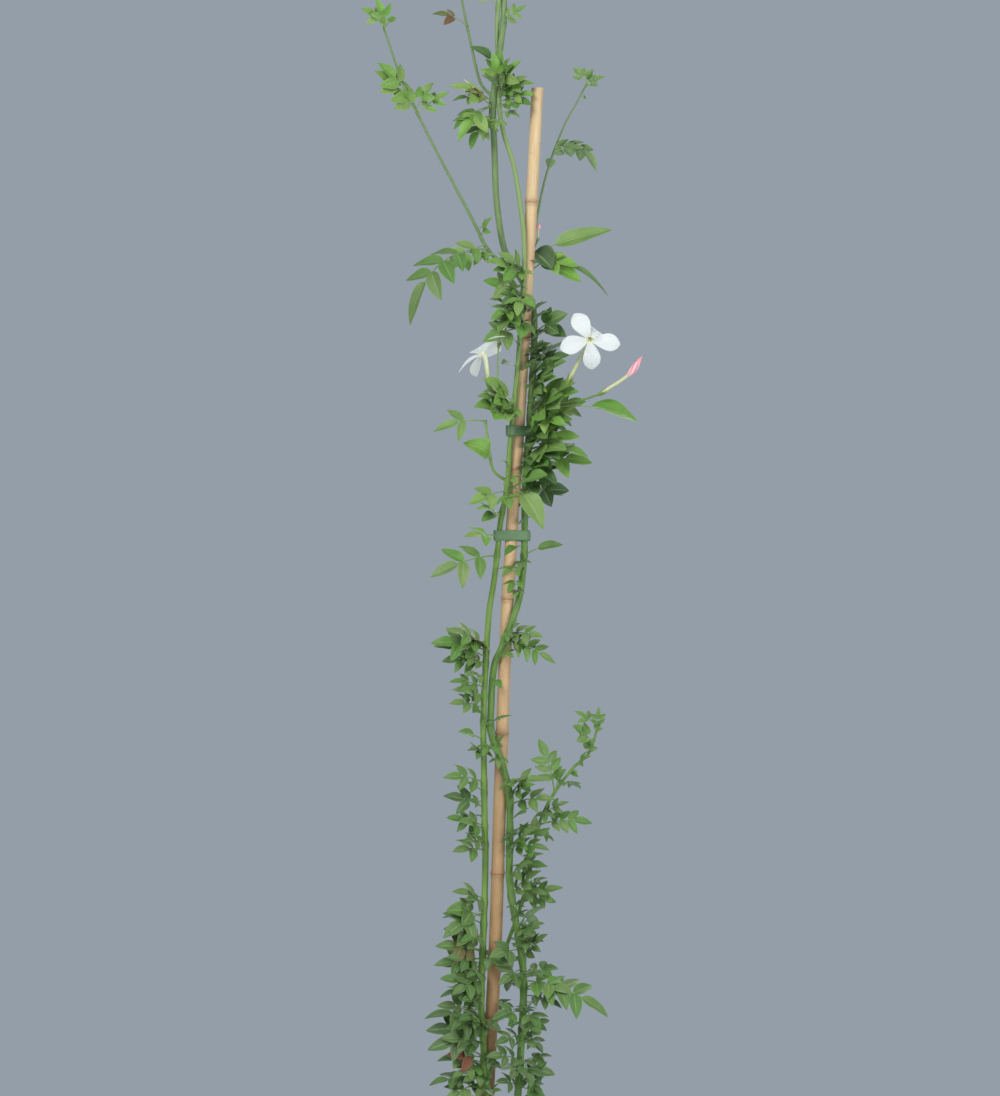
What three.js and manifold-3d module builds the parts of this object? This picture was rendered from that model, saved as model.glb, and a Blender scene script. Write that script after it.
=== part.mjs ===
// A potted Spanish jasmine, trained up a leaning bamboo cane.
// Millimetres, +Z up. The origin is the centre of the pot's underside. The front is seen
// looking along +Y, with +X to the right.

import * as THREE from 'three';
import { mergeVertices } from 'three/addons/utils/BufferGeometryUtils.js';
import Module from 'manifold-3d';

const wasm = await Module();
wasm.setup();

// Pot, a round 17 cm nursery pot with a banded rim
const POT_HEIGHT = 150;
const POT_RADIUS = 85;
const POT_BASE_RADIUS = 61;
const POT_WALL = 2.2;
const POT_SIDES = 32;
const BAND_HEIGHT = 27;
const BAND_STEP = 4;
const BAND_FOOT = POT_HEIGHT - BAND_HEIGHT;
const POT_SLOPE = (POT_RADIUS - BAND_STEP - POT_BASE_RADIUS) / POT_HEIGHT;
const WALL_TOP_RADIUS = POT_BASE_RADIUS + POT_SLOPE * BAND_FOOT;
const BAND_BOTTOM_RADIUS = WALL_TOP_RADIUS + BAND_STEP;
const RIM_ROUND = 0.4;
const DRAIN_HOLES = 8;
const DRAIN_RADIUS = 4.5;
const DRAIN_CIRCLE = 46;

// Compost
const SEAT_GAP = 0.4;
const SOIL_EDGE_HEIGHT = 134;
const SOIL_CROWN = 5;
const SOIL_BUMP = 1.1;
const SOIL_RINGS = [1, 0.86, 0.64, 0.42, 0.2, 0];
const HOLE_GAP = 0.35;

// Cane: its axis at even steps of height, as [x, y]
const CANE_FOOT = 8;
const CANE_TOP = 904;
const CANE_AXIS = [
  [-3, 0], [0.2, 1], [4, 2], [9.8, 2.5], [13.4, 2],
  [17.8, 1], [24.8, 0], [31.5, -0.5], [37.4, -1],
];
const CANE_FOOT_RADIUS = 4.6;
const CANE_TOP_RADIUS = 3.8;
const CANE_SIDES = 8;
const CANE_NODES = [25, 112, 205, 300, 393, 484, 572, 656, 742, 830];
const NODE_RIDGE = 0.7;
const NODE_REACH = 3.5;
const NODE_FLAT = 0.6;
const CANE_BORE_RADIUS = 1.5;
const CANE_BORE_DEPTH = 12;
const CANE_HOLE_RADIUS = 5.95;

// Stems and side shoots: their radii from foot to tip, and how near the cane's axis they may come
const RIGHT_STEM_RADII = [2.3, 1.9];
const LEFT_STEM_RADII = [2.3, 1.3];
const LOW_STEM_RADII = [1.9, 0.7];
const UPPER_LEFT_RADII = [1.2, 0.7];
const UPPER_RIGHT_RADII = [1.1, 0.7];
const UPRIGHT_RADII = [1, 0.7];
const LEFT_SPUR_RADII = [1, 0.8];
const FLOWER_SPUR_RADII = [1, 0.9];
const BUD_STALK_RADII = [0.8, 0.8];
const STEM_CLEARANCE = 7.5;
const LOW_STEM_CLEARANCE = 6.6;
const SHOOT_CLEARANCE = 4.9;
const STEM_SIDES = 5;
const STEM_STEP = 24;
const SPUR_STEP = 9;
const TWIST_FOOT = 892;
const TWIST_TOP = 1012;
const TWIST_ROWS = 7;
const TWIST_TURN = Math.PI / 58;
const TWIST_RADIUS = 2.1;
const TWIST_SIDE = -26.5;

// Leaves, whose shares are of the whole leaf's length. The lists go by its pairs of leaflets.
const BLADE = 0.7;
const RIB_WIDTH = 1.3;
const END_LEAFLET_SHARES = [0.42, 0.53, 0.61, 0.67];
const PAIR_LENGTH_SHARES = [0, 0.38, 0.31, 0.25];
const FIRST_PAIR_SHARE = 0.27;
const LAST_PAIR_GAP = 0.1;
const PAIR_SPREAD = 1.16;
const PAIR_SPREAD_LOSS = 0.2;
const SPREAD_RANGE = 0.16;
const LEAFLET_HALF_WIDTH = 0.2;
const LEAFLET_WIDTH_RANGE = 0.04;
const LEAFLET_FOLD = 0.3;
const ROLL_RANGE = 0.7;
const SMALL_LEAFLET = 16;
const LARGE_LEAFLET = 30;

// Flowers and buds
const CALYX_LENGTH = 4;
const CALYX_RADIUS = 1.9;
const CALYX_TEETH = 5;
const TOOTH_LENGTH = 5;
const TOOTH_RADIUS = 0.7;
const SOCKET_DEPTH = 1.5;
const SOCKET_RADIUS = 1.4;
const PETAL_LENGTH = 18.2;
const PETAL_WIDTH = 11;
const PETAL_EDGE_SHARES = [0.25, 0.58, 0.88];
const PETAL_FOLD = 0.12;
const PETAL_TWIST = 0.16;
const THROAT_RADIUS = 2.6;
const TUBE_RADII = [1.1, 1.6];
const TUBE_SIDES = 6;
const BUD_TUBE_RADIUS = 1.1;
const BUD_SWELL = 1.2;
const BUD_POINT = 0.8;
const BUD_HEAD_SHARE = 0.55;
const BUD_STEPS = 9;

// Ties of soft green tape
const TIE_HEIGHTS = [613, 681];
const TIE_WIDTH = 8;
const TIE_THICKNESS = 0.9;
const TIE_CLEAR = 0.7;
const TIED_STEM_RADIUS = 2.1;
const TIE_POINTS = 24;

const UP = new THREE.Vector3(0, 0, 1);
const FRONT = new THREE.Vector3(0, -1, 0);

const finish = (color, roughness) => new THREE.MeshStandardMaterial({ color, roughness, metalness: 0 });
const terracotta = finish(0xa65a3c, 0.75);
const compost = finish(0x3a2b20, 0.95);
const bamboo = finish(0xcfae80, 0.55);
const leafGreen = finish(0x4f7d33, 0.5);
const petalWhite = finish(0xf4f7f3, 0.55);
const budPink = finish(0xcf8791, 0.5);
const tapeGreen = finish(0x3f6b47, 0.6);

const group = new THREE.Group();

// Seeded draws from 0 to 1
function draws(seed) {
  let state = (seed * 2654435761 + 12345) >>> 0;
  return () => {
    state = (Math.imul(state, 1664525) + 1013904223) >>> 0;
    return state / 4294967296;
  };
}

function solid(geometry) {
  const plain = geometry.clone();
  plain.deleteAttribute('normal');
  plain.deleteAttribute('uv');
  const merged = mergeVertices(plain, 1e-4);
  return new wasm.Manifold(new wasm.Mesh({
    numProp: 3,
    vertProperties: new Float32Array(merged.attributes.position.array),
    triVerts: new Uint32Array(merged.index.array),
  }));
}

function addPiece(name, body, material) {
  const { vertProperties, triVerts } = body.getMesh();
  const geometry = new THREE.BufferGeometry();
  geometry.setAttribute('position', new THREE.BufferAttribute(new Float32Array(vertProperties), 3));
  geometry.setIndex(new THREE.BufferAttribute(new Uint32Array(triVerts), 1));
  const mesh = new THREE.Mesh(geometry, material);
  mesh.name = name;
  group.add(mesh);
}

const join = (bodies) => bodies.reduce((whole, body) => whole.add(body));

function turned(profile, sides) {
  const points = profile.map(([radius, height]) => new THREE.Vector2(radius, height));
  return new THREE.LatheGeometry(points, sides).rotateX(Math.PI / 2);
}

// Moves every point of a geometry
function reshape(geometry, move) {
  const points = geometry.attributes.position;
  const point = new THREE.Vector3();
  for (let i = 0; i < points.count; i += 1) {
    move(point.fromBufferAttribute(points, i));
    points.setXYZ(i, point.x, point.y, point.z);
  }
  return geometry;
}

// The cane's axis, and its radius with a ridge at each node

const caneCurve = new THREE.CatmullRomCurve3(
  CANE_AXIS.map(([x, y], i) => {
    const share = i / (CANE_AXIS.length - 1);
    return new THREE.Vector3(x, y, THREE.MathUtils.lerp(CANE_FOOT, CANE_TOP, share));
  }),
  false,
  'catmullrom',
);

function caneAt(height) {
  const share = (height - CANE_FOOT) / (CANE_TOP - CANE_FOOT);
  const within = THREE.MathUtils.clamp(share, 0, 1);
  const point = caneCurve.getPoint(within);
  const beyond = height - point.z;
  if (Math.abs(beyond) > 0.01) {
    const lean = caneCurve.getTangent(within);
    point.addScaledVector(lean, beyond / lean.z);
  }
  return point;
}

const caneRadius = (height) => THREE.MathUtils.mapLinear(
  height, CANE_FOOT, CANE_TOP, CANE_FOOT_RADIUS, CANE_TOP_RADIUS,
);

function makeCane() {
  const profile = [[0, CANE_FOOT], [caneRadius(CANE_FOOT), CANE_FOOT]];
  for (const node of CANE_NODES) {
    const radius = caneRadius(node);
    profile.push([radius, node - NODE_REACH]);
    profile.push([radius + NODE_RIDGE, node - NODE_FLAT]);
    profile.push([radius + NODE_RIDGE, node + NODE_FLAT]);
    profile.push([radius, node + NODE_REACH]);
  }
  profile.push([CANE_TOP_RADIUS, CANE_TOP]);
  profile.push([CANE_BORE_RADIUS, CANE_TOP]);
  profile.push([CANE_BORE_RADIUS, CANE_TOP - CANE_BORE_DEPTH]);
  profile.push([0, CANE_TOP - CANE_BORE_DEPTH]);
  const straight = turned(profile, CANE_SIDES);
  return solid(reshape(straight, (point) => {
    const axis = caneAt(point.z);
    point.x += axis.x;
    point.y += axis.y;
  }));
}

// Pot: a lathe profile from the axis up the outside and down the inside

function makePot() {
  const body = solid(turned([
    [0, 0],
    [POT_BASE_RADIUS - 2, 0],
    [POT_BASE_RADIUS, 2],
    [WALL_TOP_RADIUS, BAND_FOOT],
    [BAND_BOTTOM_RADIUS, BAND_FOOT + 1.5],
    [POT_RADIUS, POT_HEIGHT - 3],
    [POT_RADIUS - RIM_ROUND, POT_HEIGHT],
    [POT_RADIUS - POT_WALL - RIM_ROUND, POT_HEIGHT],
    [BAND_BOTTOM_RADIUS - POT_WALL, BAND_FOOT + 3],
    [WALL_TOP_RADIUS - POT_WALL, BAND_FOOT + 0.5],
    [POT_BASE_RADIUS - POT_WALL, POT_WALL + SEAT_GAP],
    [0, POT_WALL],
  ], POT_SIDES));
  const drain = new THREE.CylinderGeometry(DRAIN_RADIUS, DRAIN_RADIUS, 4 * POT_WALL, 8);
  drain.rotateX(Math.PI / 2);
  let pot = body;
  for (let i = 0; i < DRAIN_HOLES; i += 1) {
    const turn = (2 * Math.PI * i) / DRAIN_HOLES;
    const hole = drain.clone();
    hole.translate(DRAIN_CIRCLE * Math.cos(turn), DRAIN_CIRCLE * Math.sin(turn), 0);
    pot = pot.subtract(solid(hole));
  }
  return pot;
}

// Compost: fills the pot to below its rim, low and lumpy, with plain holes for what stands in it

const soilBump = (x, y) => SOIL_BUMP * (
  Math.sin(0.19 * x + 0.07 * y) * Math.cos(0.16 * y - 0.05 * x) + 0.6 * Math.sin(0.31 * y + 0.23 * x + 1)
);

function makeSoil(holes) {
  const inside = POT_WALL + SEAT_GAP;
  const bandInside = BAND_BOTTOM_RADIUS - inside;
  const edge = THREE.MathUtils.mapLinear(
    SOIL_EDGE_HEIGHT, BAND_FOOT + 3, POT_HEIGHT, bandInside, POT_RADIUS - inside - RIM_ROUND,
  );
  const top = SOIL_RINGS.map((share) => [
    edge * share, SOIL_EDGE_HEIGHT + SOIL_CROWN * (1 - share * share),
  ]);
  const plain = turned([
    [0, POT_WALL + SEAT_GAP],
    [POT_BASE_RADIUS - inside, POT_WALL + 2 * SEAT_GAP],
    [WALL_TOP_RADIUS - inside, BAND_FOOT + 1],
    [bandInside, BAND_FOOT + 3.6],
    ...top,
  ], POT_SIDES);
  const lumpy = reshape(plain, (point) => {
    const radius = Math.hypot(point.x, point.y);
    if (point.z > SOIL_EDGE_HEIGHT + 0.1) {
      point.z += soilBump(point.x, point.y) * Math.min(1, 2 - (1.9 * radius) / edge);
    }
  });
  return holes.reduce((soil, hole) => soil.subtract(hole), solid(lumpy));
}

// Stems: round tapering shoots along smooth courses that keep clear of the cane

const clearOfCane = (point, distance) => {
  if (point.z > CANE_TOP + 6) {
    return point;
  }
  const axis = caneAt(point.z);
  const away = Math.hypot(point.x - axis.x, point.y - axis.y);
  const push = Math.max(1, distance / away);
  point.x = axis.x + (point.x - axis.x) * push;
  point.y = axis.y + (point.y - axis.y) * push;
  return point;
};

class Course extends THREE.CatmullRomCurve3 {
  constructor(points, clearance) {
    super(points, false, 'catmullrom');
    this.clearance = clearance;
  }

  getPoint(t, target = new THREE.Vector3()) {
    return clearOfCane(super.getPoint(t, target), this.clearance);
  }

  // The point at a height, on a course that climbs all the way
  atHeight(height) {
    let low = 0;
    let high = 1;
    for (let i = 0; i < 24; i += 1) {
      const middle = (low + high) / 2;
      if (this.getPoint(middle).z < height) {
        low = middle;
      } else {
        high = middle;
      }
    }
    return this.getPoint(low);
  }
}

// A round shoot along a course, with its radius given by the share of its length
function shoot(course, radiusAt, step = STEM_STEP, sides = STEM_SIDES) {
  const steps = Math.max(2, Math.round(course.getLength() / step));
  const section = new THREE.Shape();
  for (let i = 0; i < sides; i += 1) {
    const turn = (2 * Math.PI * i) / sides;
    section[i ? 'lineTo' : 'moveTo'](Math.cos(turn), Math.sin(turn));
  }
  const geometry = new THREE.ExtrudeGeometry(section, { steps, extrudePath: course, bevelEnabled: false });
  const centres = course.getSpacedPoints(steps);
  return solid(reshape(geometry, (point) => {
    const ring = nearest(centres, point);
    point.sub(centres[ring]).multiplyScalar(radiusAt(ring / steps)).add(centres[ring]);
  }));
}

function nearest(centres, point) {
  let best = 0;
  centres.forEach((centre, i) => {
    if (centre.distanceToSquared(point) < centres[best].distanceToSquared(point)) {
      best = i;
    }
  });
  return best;
}

const taper = ([from, to]) => (share) => THREE.MathUtils.lerp(from, to, share);

// Courses of the three stems, as rows of [height, side, depth] from the cane's axis

const besideCane = ([height, side, depth]) => {
  const axis = caneAt(height);
  return new THREE.Vector3(axis.x + side, axis.y + depth, height);
};

// Above the cane the two leaders wind round each other
function leaderRows(phase) {
  const rows = [];
  for (let i = 0; i < TWIST_ROWS; i += 1) {
    const height = THREE.MathUtils.lerp(TWIST_FOOT, TWIST_TOP, i / (TWIST_ROWS - 1));
    const turn = phase + (height - TWIST_FOOT) * TWIST_TURN;
    rows.push([height, TWIST_SIDE + TWIST_RADIUS * Math.cos(turn), TWIST_RADIUS * Math.sin(turn)]);
  }
  return rows;
}

const RIGHT_STEM_ROWS = [
  [110, 15, -4], [142, 16, -5], [190, 18, -6], [249, 19.8, -6], [311, 20, -5], [340, 17.5, -5],
  [375, 10, -3], [402, 6.6, -1], [441, 5.5, -3.5], [467, 0, -6.8], [484, -7, -4], [506, -7.8, 0],
  [526, -7, -2.5], [541, -2, -7], [556, 3, -6.5], [573, 7.6, -4], [594, 9, -1.5], [613, 8.6, -1],
  [632, 7.4, 0], [655, 6.6, 2.5], [681, 6.6, 2], [706, 7, 2], [740, 6.5, 3], [760, 4.5, 4.8],
  [775, -1, 6.8], [788, -10, 5], [802, -17, 2.5], [831, -22.9, 1.5], [865, -26, 1],
];
const LEFT_STEM_ROWS = [
  [112, 4, -12], [142, 3, -11], [200, 1.5, -8.5], [249, 0, -7.2], [280, -4, -6.4], [311, -7.4, -3],
  [360, -8, 1], [400, -8.2, 3], [428, -9.5, 0], [461, -11, -1], [490, -12.4, -2.6], [526, -12.4, -1],
  [562, -11.7, 0], [583, -9.6, -0.4], [603, -8.4, -0.8], [623, -7.6, -1.4], [641, -4.6, -5.4],
  [669, -4.5, -5.2],
  [701, -3.3, -6], [740, -2.3, -6.4], [786, -2.3, -6.4], [812, -4.5, -6], [851, -12.3, -4.5],
  [873, -20, -3],
];
const LOW_STEM_ROWS = [
  [114, -14, 5], [142, -13, 6], [200, -9, 8], [249, -6, 8.6], [300, -2, 8.6], [340, 6, 8],
  [376, 16.8, 5], [405, 22, 2], [434, 29, -2], [460, 45, -6], [472, 57, -8], [490, 62, -9],
];

const rightStem = new Course(
  [...RIGHT_STEM_ROWS, ...leaderRows(Math.PI)].map(besideCane), STEM_CLEARANCE,
);
const leftStem = new Course([...LEFT_STEM_ROWS, ...leaderRows(0)].map(besideCane), STEM_CLEARANCE);
const lowStem = new Course(LOW_STEM_ROWS.map(besideCane), LOW_STEM_CLEARANCE);

const place = (x, y, z) => new THREE.Vector3(x, y, z);
const side = (...points) => new Course(points, SHOOT_CLEARANCE);

// Side shoots
const upperLeftShoot = side(
  rightStem.atHeight(788), place(6.5, -4, 797), place(-6.5, -10, 821), place(-36.4, -18, 878),
  place(-52, -23, 912), place(-62, -28, 941),
);
const upperRightShoot = side(
  rightStem.atHeight(764), place(31.5, 9.5, 785), place(34, 11, 802), place(42, 14, 844),
  place(53.3, 17, 877), place(63.7, 19, 897), place(70, 20, 909),
);
const uprightShoot = side(
  rightStem.atHeight(898), place(0, -4, 908), place(-6.5, -6, 935), place(-11.7, -7, 961),
  place(-14, -8, 983),
);
const leftSpur = side(
  leftStem.atHeight(648), place(9, -11, 655), place(6, -13, 668), place(3.5, -14, 688),
);
const flowerSpur = side(
  rightStem.atHeight(668), place(42, -4, 684), place(52, -9, 701), place(56, -12, 710),
);
const budStalk = side(flowerSpur.atHeight(699), place(66, -12, 701), place(77, -14, 704.5));
const leftFlowerSpur = side(
  leftStem.atHeight(688), place(14, -11, 694), place(9, -13, 702), place(6.5, -14, 708),
);

// A leaf's blade as one thin arched sheet: a rib strip with leaflets cut down to it

class Sheet {
  constructor() {
    this.points = [];
    this.faces = [];
  }

  add(point) {
    this.points.push(point);
    return this.points.length - 1;
  }

  face(...corners) {
    for (let i = 1; i + 1 < corners.length; i += 1) {
      this.faces.push([corners[0], corners[i], corners[i + 1]]);
    }
  }

  normals() {
    const sums = this.points.map(() => new THREE.Vector3());
    const triangle = new THREE.Triangle();
    for (const corners of this.faces) {
      triangle.set(...corners.map((corner) => this.points[corner]));
      const normal = triangle.getNormal(new THREE.Vector3());
      corners.forEach((corner) => sums[corner].add(normal));
    }
    return sums.map((sum) => sum.normalize());
  }

  // The same triangles on both faces, with a wall round the edge
  thicken(thickness) {
    const count = this.points.length;
    const normals = this.normals();
    const raise = (share) => this.points.map((point, i) => (
      point.clone().addScaledVector(normals[i], share * thickness)
    ));
    const index = [];
    const edges = new Map();
    for (const [a, b, c] of this.faces) {
      index.push(a, b, c, count + a, count + c, count + b);
      [[a, b], [b, c], [c, a]].forEach(([from, to]) => edges.set(`${from} ${to}`, [from, to]));
    }
    for (const [from, to] of edges.values()) {
      if (!edges.has(`${to} ${from}`)) {
        index.push(to, from, count + from, to, count + from, count + to);
      }
    }
    const geometry = new THREE.BufferGeometry().setFromPoints([...raise(0.5), ...raise(-0.5)]);
    geometry.setIndex(index);
    return solid(geometry);
  }
}

// Half the width of a leaflet, widest before its middle and drawn out to a point
const leafletWidth = (share) => 2.63 * share ** 0.55 * (1 - share) ** 0.9;

// Shares of the length at which a leaflet's or a petal's edge has points
function edgeShares(length) {
  if (length < SMALL_LEAFLET) {
    return [0.42];
  }
  return length < LARGE_LEAFLET ? [0.28, 0.68] : [0.2, 0.48, 0.78];
}

// A blade from the edge between two points of the sheet, whose middle rib runs from root along its
// length. at(along, across, lift) gives a point of its surface.
function addBlade(sheet, from, to, at, shares, halfWidth, fold) {
  const rims = [1, -1].map((hand) => shares.map((share) => {
    const half = halfWidth(share);
    return sheet.add(at(share, hand * half, fold * half));
  }));
  const tip = sheet.add(at(1, 0, 0));
  const [right, left] = rims;
  if (shares.length === 1) {
    sheet.face(from, to, right[0], tip, left[0]);
    return;
  }
  const rib = shares.map((share) => sheet.add(at(share, 0, 0)));
  sheet.face(from, to, rib[0]);
  sheet.face(to, right[0], rib[0]);
  sheet.face(from, rib[0], left[0]);
  for (let i = 1; i < shares.length; i += 1) {
    sheet.face(rib[i - 1], right[i - 1], right[i], rib[i]);
    sheet.face(left[i - 1], rib[i - 1], rib[i], left[i]);
  }
  sheet.face(rib.at(-1), right.at(-1), tip);
  sheet.face(rib.at(-1), tip, left.at(-1));
}

// Which way a leaf's upper face looks: up and out, and to the side that its tip is on
function leafFacing(root, tip, roll) {
  const along = tip.clone().sub(root).normalize();
  const lookFront = tip.y < 6 ? 0.75 : -0.45;
  const facing = UP.clone().multiplyScalar(0.72).addScaledVector(FRONT, lookFront);
  facing.addScaledVector(along, -facing.dot(along)).normalize();
  return facing.applyAxisAngle(along, roll);
}

// A pinnate leaf from a point inside its stem to its tip, with pairs of leaflets and one at its end.
// shape may give how far it arches, as a share of its length, and how far it rolls, in radians.
function makeLeaf(root, tip, pairs, seed, shape = {}) {
  const draw = draws(seed);
  const along = tip.clone().sub(root);
  const length = along.length();
  along.normalize();
  const facing = leafFacing(root, tip, (shape.roll ?? 0) + ROLL_RANGE * (draw() - 0.5));
  const across = new THREE.Vector3().crossVectors(along, facing);
  const natural = 0.07 + 0.08 * draw();
  const arch = (shape.arch ?? natural) * length;
  const ribPoint = (share) => root.clone()
    .addScaledVector(along, share * length)
    .addScaledVector(facing, 4 * arch * share * (1 - share));
  const ribSlope = (share) => along.clone()
    .multiplyScalar(length)
    .addScaledVector(facing, 4 * arch * (1 - 2 * share))
    .normalize();
  const endShare = END_LEAFLET_SHARES[pairs];
  const lastShare = endShare - LAST_PAIR_GAP;
  const firstShare = pairs > 1 ? FIRST_PAIR_SHARE : lastShare;
  const endLength = (1 - endShare) * length;
  const pairLength = PAIR_LENGTH_SHARES[pairs] * length;
  const halfShare = () => LEAFLET_HALF_WIDTH + LEAFLET_WIDTH_RANGE * draw();
  const sheet = new Sheet();
  const ribEdge = (share, width) => [1, -1].map((hand) => sheet.add(
    ribPoint(share).addScaledVector(across, hand * width * 0.5),
  ));
  let last = ribEdge(0, RIB_WIDTH);
  const strip = (edge) => {
    sheet.face(last[0], edge[0], edge[1], last[1]);
    last = edge;
  };
  for (let i = 0; i < pairs; i += 1) {
    const share = THREE.MathUtils.lerp(firstShare, lastShare, i / Math.max(1, pairs - 1));
    const foot = Math.max(0.02, 1 / length);
    strip(ribEdge(share - foot, RIB_WIDTH));
    const before = last;
    strip(ribEdge(share + foot, RIB_WIDTH));
    const after = last;
    [1, -1].forEach((hand, k) => {
      const spread = PAIR_SPREAD - PAIR_SPREAD_LOSS * share + SPREAD_RANGE * (draw() - 0.5);
      const size = pairLength * (0.84 + 0.2 * share + 0.16 * draw());
      const sag = 0.1 + 0.16 * draw();
      const half = size * halfShare();
      const slope = ribSlope(share);
      const normal = new THREE.Vector3().crossVectors(across, slope).normalize();
      const start = ribPoint(share).addScaledVector(across, hand * RIB_WIDTH * 0.5);
      const outward = slope.clone().multiplyScalar(Math.cos(spread))
        .addScaledVector(across, hand * Math.sin(spread));
      const sideways = new THREE.Vector3().crossVectors(outward, normal);
      const at = (run, offset, lift) => start.clone()
        .addScaledVector(outward, run * size)
        .addScaledVector(sideways, offset)
        .addScaledVector(normal, lift - sag * size * run * run);
      const [from, to] = hand > 0 ? [after[k], before[k]] : [before[k], after[k]];
      const width = (run) => half * leafletWidth(run);
      addBlade(sheet, from, to, at, edgeShares(size), width, LEAFLET_FOLD);
    });
  }
  strip(ribEdge(endShare, RIB_WIDTH));
  const slope = ribSlope(endShare);
  const normal = new THREE.Vector3().crossVectors(across, slope).normalize();
  const start = ribPoint(endShare);
  const end = tip.clone().sub(start);
  const bow = end.dot(normal);
  const reach = end.dot(slope);
  const half = endLength * halfShare();
  const at = (run, offset, lift) => start.clone()
    .addScaledVector(slope, run * reach)
    .addScaledVector(across, offset)
    .addScaledVector(normal, lift + bow * run * run);
  const width = (run) => half * leafletWidth(run);
  addBlade(sheet, last[1], last[0], at, edgeShares(endLength), width, LEAFLET_FOLD);
  return sheet.thicken(BLADE);
}

// Leaves of each stem and shoot, as rows of [height of its joint, tip, pairs of leaflets]

const RIGHT_STEM_LEAVES = [
  [214, [52, -20, 206], 2], [232, [30, 26, 240], 2],
  [262, [41, -14, 250], 2], [268, [20, -32, 262], 2], [292, [41, 6, 276], 2],
  [306, [39, -20, 293], 1], [320, [83, -12, 301], 3, { arch: 0.17 }],
  [338, [44, -16, 355], 2], [346, [30, -26, 345], 2], [352, [43, 8, 372], 2],
  [378, [40, -14, 396], 2], [384, [14, -27, 388], 1],
  [410, [45, -12, 409], 2], [420, [34, 16, 420], 1],
  [438, [49, -14, 442], 2], [446, [27, -24, 455], 2], [488, [13, -27, 494], 1],
  [546, [49, -13, 530], 3], [550, [41, -20, 547], 2],
  [600, [54, -10, 606], 1], [634, [54, 8, 639], 2], [645, [46, 20, 656], 2],
  [652, [50, -24, 646], 1], [660, [73, -7, 660], 2], [664, [44, -20, 662], 2],
  [669, [62, 12, 668], 2], [672, [65, -12, 677], 1], [690, [56, -24, 684], 2],
  [692, [69, -4, 700], 3], [696, [60, 12, 684], 2], [704, [50, -17, 716], 2],
  [716, [57, 12, 739], 2], [726, [40, 26, 741], 2],
  [744, [57, -10, 757], 2],
  [888, [-6, -13, 863], 2], [892, [-17, -12, 876], 1], [896, [-18, -6, 895], 2],
  [946, [30, -7, 957], 2], [982, [34, 4, 994], 2], [1010, [0, -4, 1026], 1],
];
const LEFT_STEM_LEAVES = [
  [206, [-30, -26, 198], 2], [236, [-22, -30, 238], 1],
  [262, [-33, -18, 257], 3], [274, [-22, -20, 277], 1],
  [290, [-35, -10, 292], 2], [298, [-14, -24, 300], 2], [316, [-19, -14, 320], 2],
  [332, [-27, 2, 334], 2], [342, [-29, -14, 347], 2],
  [360, [-25, 6, 364], 1], [374, [-10, -14, 377], 1],
  [412, [-11, -17, 415], 2], [424, [-22, -6, 430], 2], [446, [-14, 8, 453], 1],
  [452, [-24, -12, 456], 2], [492, [-4, -18, 499], 0], [508, [-18, -8, 513], 2],
  [530, [-25, 2, 531], 2], [538, [-32, -12, 543], 2],
  [600, [-32, -15, 586], 2], [628, [1, -15, 622], 0], [642, [-7, -17, 633], 1],
  [644, [44, -23, 653], 1], [646, [40, -26, 617], 1], [698, [-2, -21, 703], 2],
  [760, [7, -27, 752], 2], [770, [24, -34, 754], 2],
  [778, [3, -27, 790], 1],
  [894, [36, -9, 899], 2], [898, [31, -7, 911], 2], [902, [27, -13, 921], 1],
  [956, [-6, -12, 971], 1], [1010, [22, -5, 1030], 1],
];
const LOW_STEM_LEAVES = [
  [190, [-36, 22, 186], 2], [236, [-30, 26, 244], 2], [284, [-24, 26, 296], 2],
  [326, [22, 34, 336], 2], [374, [54, 2, 384], 2], [398, [36, 22, 406], 1],
  [425, [73, -2, 426], 3], [446, [38, -3, 481], 3], [452, [66, 8, 448], 2],
  [464, [72, -16, 470], 1], [488, [77, -12, 502], 2], [489, [61, -6, 499], 1],
];
const UPPER_LEFT_LEAVES = [
  [799, [-45, -24, 749], 3, { arch: 0.26 }], [806, [8, -18, 819], 1], [890, [-68, -30, 913], 2],
  [886, [-20, -17, 900], 2], [940, [-77, -34, 953], 1], [940, [-54, -23, 948], 0],
  [940.6, [-67, -37, 959], 1],
];
const UPPER_RIGHT_LEAVES = [
  [788, [47, 23, 799], 0], [796, [86, 14, 812], 1], [794, [84, 5, 768], 0, { roll: -1.2 }],
  [866, [76, 22, 851], 2, { arch: 0.3 }], [862, [45, 25, 853], 0], [904, [82, 22, 913], 1],
  [908, [61, 18, 919], 1],
];
const UPRIGHT_LEAVES = [[944, [-31, -11, 951], 1], [982, [-20, -10, 998], 1]];
const LEFT_SPUR_LEAVES = [[687, [-30, -19, 680], 1], [664, [-11, -19, 673], 0, { arch: 0.2 }]];
const FLOWER_SPUR_LEAVES = [[696, [103, -16, 686], 0, { arch: 0.06 }]];

function leavesOn(course, rows, seed) {
  return rows.map(([height, tip, pairs, shape], i) => (
    makeLeaf(course.atHeight(height), place(...tip), pairs, seed + i, shape)
  ));
}

// Calyx at a shoot's end: a small cup with five teeth, and a socket for the flower's tube

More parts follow.
